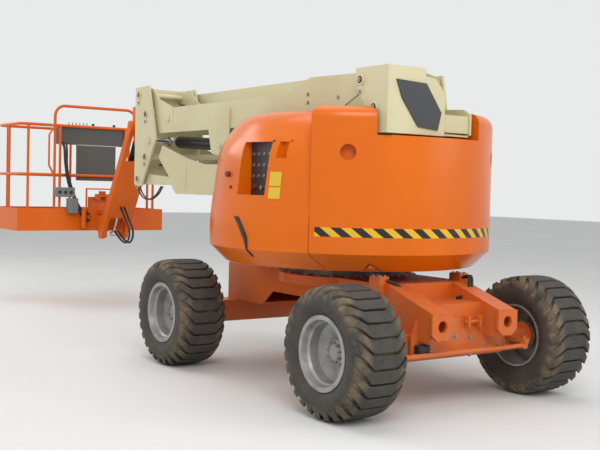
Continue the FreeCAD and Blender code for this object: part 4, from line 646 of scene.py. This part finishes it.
# Warning tape: glossy reflective film stuck round the counterweight, whose slanted yellow and
# black bars are set out by the angle round the machine and the height.
TAPE_ANGLES, TAPE_HEIGHTS, FILM = (129.6, 230.4), (1.114, 1.175), 0.0008
BARS_A_RADIAN, BARS_A_METRE_UP, BAR_START, BLACK_SHARE = 7.58, 9.2, 0.12, 0.52
tape, tree, shader = blank("reflective_warning_tape")
place = add(tree, "ShaderNodeSeparateXYZ",
            {0: add(tree, "ShaderNodeTexCoord").outputs["Object"]})
flipped = add(tree, "ShaderNodeMath", {0: place.outputs["X"], 1: -1.0}, operation="MULTIPLY")
angle = add(tree, "ShaderNodeMath", {0: place.outputs["Y"], 1: flipped.outputs[0]},
            operation="ARCTAN2")
along = add(tree, "ShaderNodeMath", {0: angle.outputs[0], 1: -BARS_A_RADIAN, 2: BAR_START},
            operation="MULTIPLY_ADD")
slant = add(tree, "ShaderNodeMath", {0: place.outputs["Z"], 1: BARS_A_METRE_UP,
                                     2: along.outputs[0]}, operation="MULTIPLY_ADD")
phase = add(tree, "ShaderNodeMath", {0: slant.outputs[0]}, operation="FRACT")
black = add(tree, "ShaderNodeMath", {0: phase.outputs[0], 1: BLACK_SHARE},
            operation="LESS_THAN")
tone = add(tree, "ShaderNodeMix", {0: black.outputs[0], 6: linear("#E2B118"),
                                   7: linear("#1D1A18")}, data_type="RGBA")
tree.links.new(tone.outputs[2], shader.inputs["Base Color"])
shader.inputs["Roughness"].default_value = 0.3
piece("warning_tape", laid_round("warning_tape", "counterweight", TAPE_ANGLES, TAPE_HEIGHTS,
                                 FILM, across=60), tape, "turntable",
      smooth=60)

# Two blank plates of yellow vinyl, stuck on the left hood below its hand-hold. Vinyl is evenly
# glossy and bleaches in soft clouds.
PLATES = [("blank_plate_upper", (1.437, 1.532)), ("blank_plate_lower", (1.352, 1.428))]
decal = plain("blank_yellow_decal", "#D9B82A", "#CFAE2C", rough=0.35, scale=12.0)
for name, heights in PLATES:
    piece(name, laid_round(name, "hood_left", (110.0, 115.2), heights, 0.0012, across=6),
          decal, "hood_left", smooth=60)

# Ground controls: a pebbled dark plastic panel screwed to the turntable behind the hood's
# window, which has its own liner of gelcoat, with plated toggles and red lamps.
WINDOW_X, WINDOW_Z, OVERLAP = (-0.320, -0.050), (1.372, 1.735), 0.004
PANEL_BACK, PANEL_FACE, SWITCH_SEAT = 0.905, 0.915, 0.914
SWITCH_COLUMNS, SWITCH_ROWS = 4, 3
FIRST_SWITCH, SWITCH_STEP = (-0.285, 1.655), (0.066, 0.075)
panel_grey = plain("dark_control_panel", "#26282B", "#303235", rough=0.45, grain=0.2)
(w0, w1), (z0, z1) = WINDOW_X, WINDOW_Z
bm = bmesh.new()
brick(bm, (w0 - OVERLAP, PANEL_BACK, z0 - OVERLAP), (w1 + OVERLAP, PANEL_FACE, z1 + OVERLAP))
piece("ground_panel", solid_mesh("ground_panel", bm), panel_grey, "turntable",
      smooth=30)
hood_skin = skin_of("hood_left")


def on_hood(x, z):
    """Where a ray from outside, square to the machine's side, meets the left hood."""
    return hood_skin.ray_cast(Vector((x, 1.3, z)), Vector((0, -1, 0)))[0]


def lining(bm, xs, zs, back, steps):
    """Adds boards from a depth out into the hood's wall, cut in steps along their run."""
    wall, clear_edge, sunk = 0.8, 1.0, 0.003
    along_x = xs[1] - xs[0] > zs[1] - zs[0]
    start, end = xs if along_x else zs
    for i in range(steps):
        run = [start + (end - start) * (i + k) / steps for k in (0, 1)]
        x, z = (run, zs) if along_x else (xs, run)
        hits = [on_hood(u, v) for u in x for v in z]
        reach = min(hit.y if hit and hit.y > wall else clear_edge for hit in hits)
        brick(bm, (x[0], back, z[0]), (x[1], reach - sunk, z[1]))


# The front jamb shows past the panel's edge, so it starts further in than the other three.
BOARD, GAP, AT_PANEL, BEHIND_PANEL = 0.010, 0.001, 0.916, 0.890
bm = bmesh.new()
for xs, zs, back, steps in (
        ((w0 - BOARD, w1 + BOARD), (z0 - BOARD, z0 - GAP), AT_PANEL, 6),
        ((w0 - BOARD, w1 + BOARD), (z1 + GAP, z1 + BOARD), AT_PANEL, 6),
        ((w0 - BOARD, w0 - GAP), (z0 - BOARD, z1 + BOARD), AT_PANEL, 8),
        ((w1 + GAP, w1 + BOARD), (z0 - BOARD, z1 + BOARD), BEHIND_PANEL, 8)):
    lining(bm, xs, zs, back, steps)
piece("window_liner", solid_mesh("window_liner", bm), gelcoat, "hood_left", smooth=30)

# Fittings of the left hood: a moulded rubber strap latch, broad at its grip and thin below, a
# glossy red knob and its cap, and the cup bonded in behind the hand-hold.
OUTERMOST = 1.0495
STRAP_FORM = ((-1, -0.6), (-0.7, -1), (0.7, -1), (1, -0.6), (1, 0.6), (0.7, 1), (-0.7, 1),
              (-1, 0.6))
STRAP = [
    # x, z, half the width, half the thickness
    (-0.072, 1.222, 0.030, 0.006), (-0.080, 1.212, 0.032, 0.010),
    (-0.120, 1.168, 0.027, 0.011), (-0.160, 1.112, 0.023, 0.011),
    (-0.186, 1.072, 0.017, 0.009), (-0.194, 1.035, 0.009, 0.007),
    (-0.199, 0.995, 0.008, 0.006), (-0.202, 0.950, 0.008, 0.006),
]
bm = bmesh.new()
rings = []
for x, z, half, thick in STRAP:
    y = min(on_hood(x, z).y + 0.005, OUTERMOST - thick)
    rings.append([bm.verts.new((x + dx * half, y + dy * thick, z)) for dx, dy in STRAP_FORM])
for first, second in zip(rings, rings[1:]):
    for k in range(len(STRAP_FORM)):
        j = (k + 1) % len(STRAP_FORM)
        bm.faces.new((first[k], first[j], second[j], second[k]))
bm.faces.new(rings[0][::-1])
bm.faces.new(rings[-1])
piece("hood_latch", solid_mesh("hood_latch", bm), rubber_black, "hood_left",
      smooth=50)
knob_red = plain("moulded_red_knob", "#6E1512", "#7E1C16", rough=0.4)
bm = bmesh.new()
BUTTONS = [
    # x, z, radius, how far it stands proud
    (0.089, 1.514, 0.022, 0.026), (0.040, 1.423, 0.012, 0.010),
]
for x, z, radius, proud in BUTTONS:
    skin = on_hood(x, z).y
    prism(bm, 24, radius, skin - 0.006, min(skin + proud, OUTERMOST), (x, 0, z), taper=0.88)
piece("hood_knob_cap", solid_mesh("hood_knob_cap", bm), knob_red, "hood_left",
      smooth=40)
CUP_X, CUP_Z, CUP_WALL = (-0.457, -0.358), (1.613, 1.747), 0.011
CUP_BACK, CUP_FLOOR, CUP_SIDES = 0.850, 0.858, 0.855
bm = bmesh.new()
brick(bm, (CUP_X[0], CUP_BACK, CUP_Z[0]), (CUP_X[1], CUP_FLOOR, CUP_Z[1]))
for xs, zs in (((CUP_X[0], CUP_X[0] + CUP_WALL), CUP_Z), ((CUP_X[1] - CUP_WALL, CUP_X[1]), CUP_Z),
               (CUP_X, (CUP_Z[0], CUP_Z[0] + CUP_WALL)),
               (CUP_X, (CUP_Z[1] - CUP_WALL, CUP_Z[1]))):
    lining(bm, xs, zs, CUP_SIDES, 4)
piece("hand_hold_cup", solid_mesh("hand_hold_cup", bm), gelcoat, "hood_left",
      smooth=30)

bm = bmesh.new()
for i in range(SWITCH_COLUMNS):
    for j in range(SWITCH_ROWS):
        spot = (FIRST_SWITCH[0] + SWITCH_STEP[0] * i, 0, FIRST_SWITCH[1] - SWITCH_STEP[1] * j)
        prism(bm, 20, 0.0125, SWITCH_SEAT, 0.920, spot)
        rod_between(bm, (spot[0], 0.920, spot[2]), (spot[0], 0.934, spot[2] - 0.006), 0.0042)
prism(bm, 28, 0.027, SWITCH_SEAT, 0.922, (-0.265, 0, 1.425))
prism(bm, 20, 0.016, SWITCH_SEAT, 0.926, (-0.190, 0, 1.425))
piece("panel_switches", solid_mesh("panel_switches", bm), zinc, "turntable",
      smooth=40)
bm = bmesh.new()
prism(bm, 24, 0.021, SWITCH_SEAT, 0.930, (-0.105, 0, 1.430), taper=0.8)
for i in range(3):
    prism(bm, 14, 0.008, SWITCH_SEAT, 0.921, (-0.270 + 0.05 * i, 0, 1.705), taper=0.7)
piece("panel_lamps", solid_mesh("panel_lamps", bm), knob_red, "turntable",
      smooth=40)


# Tower and boom: welded box sections in cream enamel, chalky from years outside. The pins
# have keeper plates, and the welds and bosses stand a little proud. The cylinders have glossy
# dark blue barrels, and the tail upright a moulded black cover.
cream = enamel("cream_enamel", "#CDC5A0", "#C2B88F", dust="#8C8368", chip="#6B5A45",
               dusty=0.35, splash=0.1, rough=0.38)
dress(cream, "lower_arm", "lower_link", "mid_upright", "upper_arm", "upper_link",
      "tail_upright", "main_boom", "fly_boom")
navy = enamel("navy_cylinder_enamel", "#1B1D26", "#23252D", splash=0.1, rough=0.35)
dress(navy, "tower_cylinder_barrel", "lift_cylinder_barrel", "level_cylinder_barrel",
      "jib_cylinder_barrel")
# Hard chrome on ground steel: a mirror that oil smears in 30 mm patches.
chrome, tree, shader = blank("hard_chrome")
shader.inputs["Metallic"].default_value = 1
shader.inputs["Base Color"].default_value = linear("#C9CBCC")
place = add(tree, "ShaderNodeTexCoord").outputs["Object"]
smears = add(tree, "ShaderNodeTexNoise", {"Vector": place, "Scale": 30.0, "Detail": 6.0})
sheen = add(tree, "ShaderNodeMapRange", {"Value": smears.outputs["Fac"], "To Min": 0.08,
                                         "To Max": 0.3})
tree.links.new(sheen.outputs[0], shader.inputs["Roughness"])
dress(chrome, "tower_cylinder_rod", "lift_cylinder_rod", "level_cylinder_rod",
      "jib_cylinder_rod")
# Rotomoulded polyethylene: near black, soft in gloss, lightly pebbled.
moulded = plain("black_moulded_polyethylene", "#232426", "#34363A", rough=0.45, scale=8.0,
                grain=0.2)
dress(moulded, "upright_cover")

LEFT_FACE, RIGHT_FACE = 0.480, -0.030
ARM_LEFT, ARM_RIGHT = 0.435, 0.015
STRIP_HALF, STRIP_DROP = 0.018, 0.052
PINS = [
    # body, x, z, cap's radius
    ("mid_upright", 2.670, 1.480, 0.040), ("mid_upright", 2.520, 1.690, 0.034),
    ("mid_upright", 2.670, 2.280, 0.040), ("mid_upright", 2.520, 2.090, 0.034),
    ("tail_upright", -0.700, 2.160, 0.040), ("tail_upright", -0.850, 1.970, 0.034),
    ("turntable", -0.620, 1.440, 0.040), ("turntable", -0.770, 1.650, 0.034),
]
for body in ("mid_upright", "tail_upright", "turntable"):
    caps, screws = bmesh.new(), []
    for owner, x, z, radius in PINS:
        if owner != body:
            continue
        for face, sign in ((LEFT_FACE, 1), (RIGHT_FACE, -1)):
            out = sorted((face - sign * 0.002, face + sign * 0.010))
            prism(caps, 28, radius, out[0], out[1], (x, 0, z))
            strip = sorted((face - sign * 0.001, face + sign * 0.007))
            brick(caps, (x - STRIP_HALF, strip[0], z - radius - STRIP_DROP),
                  (x + STRIP_HALF, strip[1], z - radius + 0.008))
            screws.append(("Y", sign, x, face + sign * 0.007, z - radius - 0.036, 0.009))
            screws.append(("Y", sign, x, face + sign * 0.010, z, 0.011))
    coat = turntable_enamel if body == "turntable" else cream
    piece("pin_keepers_" + body, solid_mesh("pin_keepers_" + body, caps), coat, body,
          smooth=40, bevel=0.002)
    bolts("pin_screws_" + body, screws, zinc, body)


def bead(bm, points):
    """Adds a weld bead, half sunk, to a bmesh."""
    hose(bm, points, 0.005, sides=8)


bm = bmesh.new()
for side in (ARM_LEFT, ARM_RIGHT):
    bead(bm, [(2.055, side, 1.950), (2.058, side, 2.050), (2.055, side, 2.122)])
piece("upper_arm_welds", solid_mesh("upper_arm_welds", bm), cream, "upper_arm",
      smooth=50)
ARM_SCREWS = [(1.340, 1.990), (1.250, 1.990), (-0.033, 2.110), (-0.035, 2.050),
              (-0.396, 2.067)]
bolts("upper_arm_screws", [("Y", 1, x, ARM_LEFT, z, 0.010) for x, z in ARM_SCREWS], zinc,
      "upper_arm")
ARM_BOSSES = [
    # x, z, radius
    (1.312, 1.974, 0.030), (1.099, 1.965, 0.030), (2.155, 2.036, 0.036),
]
bm = bmesh.new()
for x, z, radius in ARM_BOSSES:
    prism(bm, 24, radius, ARM_LEFT - 0.002, ARM_LEFT + 0.010, (x, 0, z))
piece("upper_arm_bosses", solid_mesh("upper_arm_bosses", bm), cream, "upper_arm",
      smooth=40, bevel=0.003)
bm = bmesh.new()
for side in (ARM_LEFT, ARM_RIGHT):
    bead(bm, [(1.788, side, 1.392), (1.790, side, 1.500), (1.788, side, 1.606)])
piece("lower_arm_welds", solid_mesh("lower_arm_welds", bm), cream, "lower_arm",
      smooth=50)

# Screws of the wear pads in the boom's mouth, two rows on each side and one on top.
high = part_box("main_boom")[1]
BOOM_MID, BOOM_HALF = -0.165, 0.115
rows = []
for x in (high.x - 0.045, high.x - 0.130):
    for z in (high.z - 0.060, high.z - 0.170):
        rows += [("Y", sign, x, BOOM_MID + sign * BOOM_HALF, z, 0.010) for sign in (1, -1)]
    for y in (-0.06, 0.06):
        rows.append(("Z", 1, x, BOOM_MID + y, high.z, 0.010))
bolts("wear_pad_bolts", rows, zinc, "main_boom")

# Two rubber hoses that loop below the middle upright, as rigid forms.
bm = bmesh.new()
for shift in (0.0, 0.020):
    hose(bm, [(2.700, 0.200 + shift, 1.620), (2.860, 0.200 + shift, 1.620),
              (3.080, 0.205 + shift, 1.550), (3.185 + shift / 2, 0.205 + shift, 1.430),
              (3.100, 0.205 + shift, 1.320 - shift / 2), (2.950, 0.200 + shift, 1.280),
              (2.790, 0.200 + shift, 1.330), (2.690, 0.200 + shift, 1.410)], 0.0075)
piece("tower_hoses", solid_mesh("tower_hoses", bm), rubber_black, "mid_upright",
      smooth=60)


# Jib and platform: plate arms and a link pinned to the fly boom's head, and a cage of bent
# tube on a pressed floor, all in one orange enamel. Two rubber hoses loop below the jib.
jib_enamel = enamel("orange_jib_enamel", "#D8620A", "#CC590B", dusty=0.3, splash=0.1)
dress(jib_enamel, "jib_base", "jib_arms", "jib_link", "platform_support", "platform_floor",
      "platform_rails")
# Console: moulded plastic, a warm grey with a pebbled face and 110 mm clouds of dust.
console_grey = plain("grey_moulded_console", "#45433F", "#504E49", rough=0.5, scale=9.0,
                     grain=0.25)
dress(console_grey, "control_console")

bm = bmesh.new()
for shift in (-0.022, 0.022):
    hose(bm, [(4.430, BOOM_MID + shift, 1.190), (4.300, BOOM_MID + shift, 1.060),
              (4.170, BOOM_MID + shift, 0.925), (4.170, BOOM_MID + shift, 0.820),
              (4.260, BOOM_MID + shift, 0.765), (4.400, BOOM_MID + shift, 0.800),
              (4.560, BOOM_MID + shift, 0.880)], 0.0115)
piece("jib_hoses", solid_mesh("jib_hoses", bm), rubber_black, "jib_arms", smooth=60)

JIB_FACE, PIN_HEAD = 0.135, 0.024
bolts("jib_pin_screws", [("Y", sign, x, BOOM_MID + sign * JIB_FACE, z, PIN_HEAD)
                         for x, z in ((3.900, 2.060), (4.642, 0.845)) for sign in (1, -1)],
      zinc, "jib_arms")

# Platform controls: plated toggles, rubber-booted levers and a red stop button on the console,
# and two black cables that run down to the mount, as rigid forms.
CONSOLE_X, CONSOLE_TOP = 5.067, 2.107
TOGGLE_X = CONSOLE_X + 0.030
bm = bmesh.new()
for i in range(6):
    y = -0.009 + 0.045 * i
    prism(bm, 14, 0.010, CONSOLE_TOP - 0.001, CONSOLE_TOP + 0.006, (TOGGLE_X, y, 0), "Z")
    rod_between(bm, (TOGGLE_X, y, CONSOLE_TOP + 0.004),
                (TOGGLE_X - 0.004, y, CONSOLE_TOP + 0.030), 0.0045, taper=1.3)
brick(bm, (CONSOLE_X - 0.003, -0.398, 1.868), (CONSOLE_X + 0.002, 0.124, 1.880))
piece("console_toggles", solid_mesh("console_toggles", bm), zinc, "platform",
      smooth=40)
bm = bmesh.new()
for y in (-0.400, -0.130):
    rod_between(bm, (5.200, y, 2.072), (5.198, y, 2.094), 0.032, sides=24, taper=0.62)
    rod_between(bm, (5.198, y, 2.092), (5.196, y, 2.112), 0.009, sides=14)
    rod_between(bm, (5.196, y, 2.110), (5.195, y, 2.142), 0.015, sides=18, taper=1.1)
hose(bm, [(5.085, 0.296, 1.895), (5.015, 0.296, 1.830), (4.992, 0.290, 1.650),
          (4.988, 0.250, 1.420), (4.985, 0.150, 1.180), (4.990, 0.060, 1.020),
          (5.004, -0.020, 0.985)], 0.016, sides=12)
hose(bm, [(5.085, 0.250, 1.895), (5.020, 0.262, 1.810), (5.005, 0.262, 1.600),
          (4.998, 0.215, 1.400), (4.990, 0.110, 1.150), (5.004, -0.020, 1.060)], 0.011,
     sides=12)
piece("console_levers", solid_mesh("console_levers", bm), rubber_black, "platform",
      smooth=50)
bm = bmesh.new()
rod_between(bm, (5.210, 0.240, 2.070), (5.214, 0.240, 2.106), 0.020, sides=22, taper=1.1)
piece("console_stop", solid_mesh("console_stop", bm), knob_red, "platform",
      smooth=40, bevel=0.002)

# Rotator: its valve, two ports and the bent bracket round them, bolted to the platform's mount
# and sprayed with the jib's enamel.
bm = bmesh.new()
brick(bm, (4.880, -0.300, 1.352), (5.012, 0.030, 1.368))
brick(bm, (4.985, 0.016, 1.090), (5.012, 0.030, 1.353))
brick(bm, (4.985, -0.312, 1.150), (5.012, -0.298, 1.353))
brick(bm, (4.940, -0.235, 1.266), (5.010, -0.085, 1.300))
rod_between(bm, (4.960, -0.160, 1.300), (4.960, -0.160, 1.335), 0.042, sides=24)
rod_between(bm, (4.930, -0.105, 1.245), (5.010, -0.105, 1.245), 0.022, sides=20)
rod_between(bm, (4.930, -0.215, 1.245), (5.010, -0.215, 1.245), 0.022, sides=20)
rod_between(bm, (4.985, 0.060, 0.905), (4.985, 0.060, 1.120), 0.030, sides=24)
brick(bm, (4.955, 0.030, 0.893), (5.024, 0.092, 0.906))
brick(bm, (4.955, 0.030, 1.119), (5.024, 0.092, 1.131))
piece("rotator_bracket", solid_mesh("rotator_bracket", bm), jib_enamel, "platform",
      smooth=40, bevel=0.002)

# Socket boxes: two folded steel boxes in light grey enamel under the console, with three round
# rubber lids.
box_grey = plain("grey_steel_boxes", "#6C7173", "#7A7F80", rough=0.45)
bm = bmesh.new()
brick(bm, (4.968, 0.176, 1.259), (5.036, 0.410, 1.372))
brick(bm, (4.962, 0.136, 1.071), (5.026, 0.262, 1.246))
piece("socket_boxes", solid_mesh("socket_boxes", bm), box_grey, "platform", smooth=30,
      bevel=0.005)
bm = bmesh.new()
for y in (0.225, 0.293, 0.361):
    prism(bm, 18, 0.019, 4.958, 4.969, (0, y, 1.315), "X")
piece("socket_lids", solid_mesh("socket_lids", bm), rubber_black, "platform",
      smooth=40)
bolts("rotator_bolts", [("Z", 1, 4.842 + dx, BOOM_MID + dy, 1.105, 0.010)
                        for dx in (-0.026, 0.026) for dy in (-0.026, 0.026)] +
      [("X", -1, 5.013, BOOM_MID + dy, z, 0.011) for dy in (-0.125, 0.125)
       for z in (0.920, 1.030, 1.150, 1.230)], zinc, "platform")
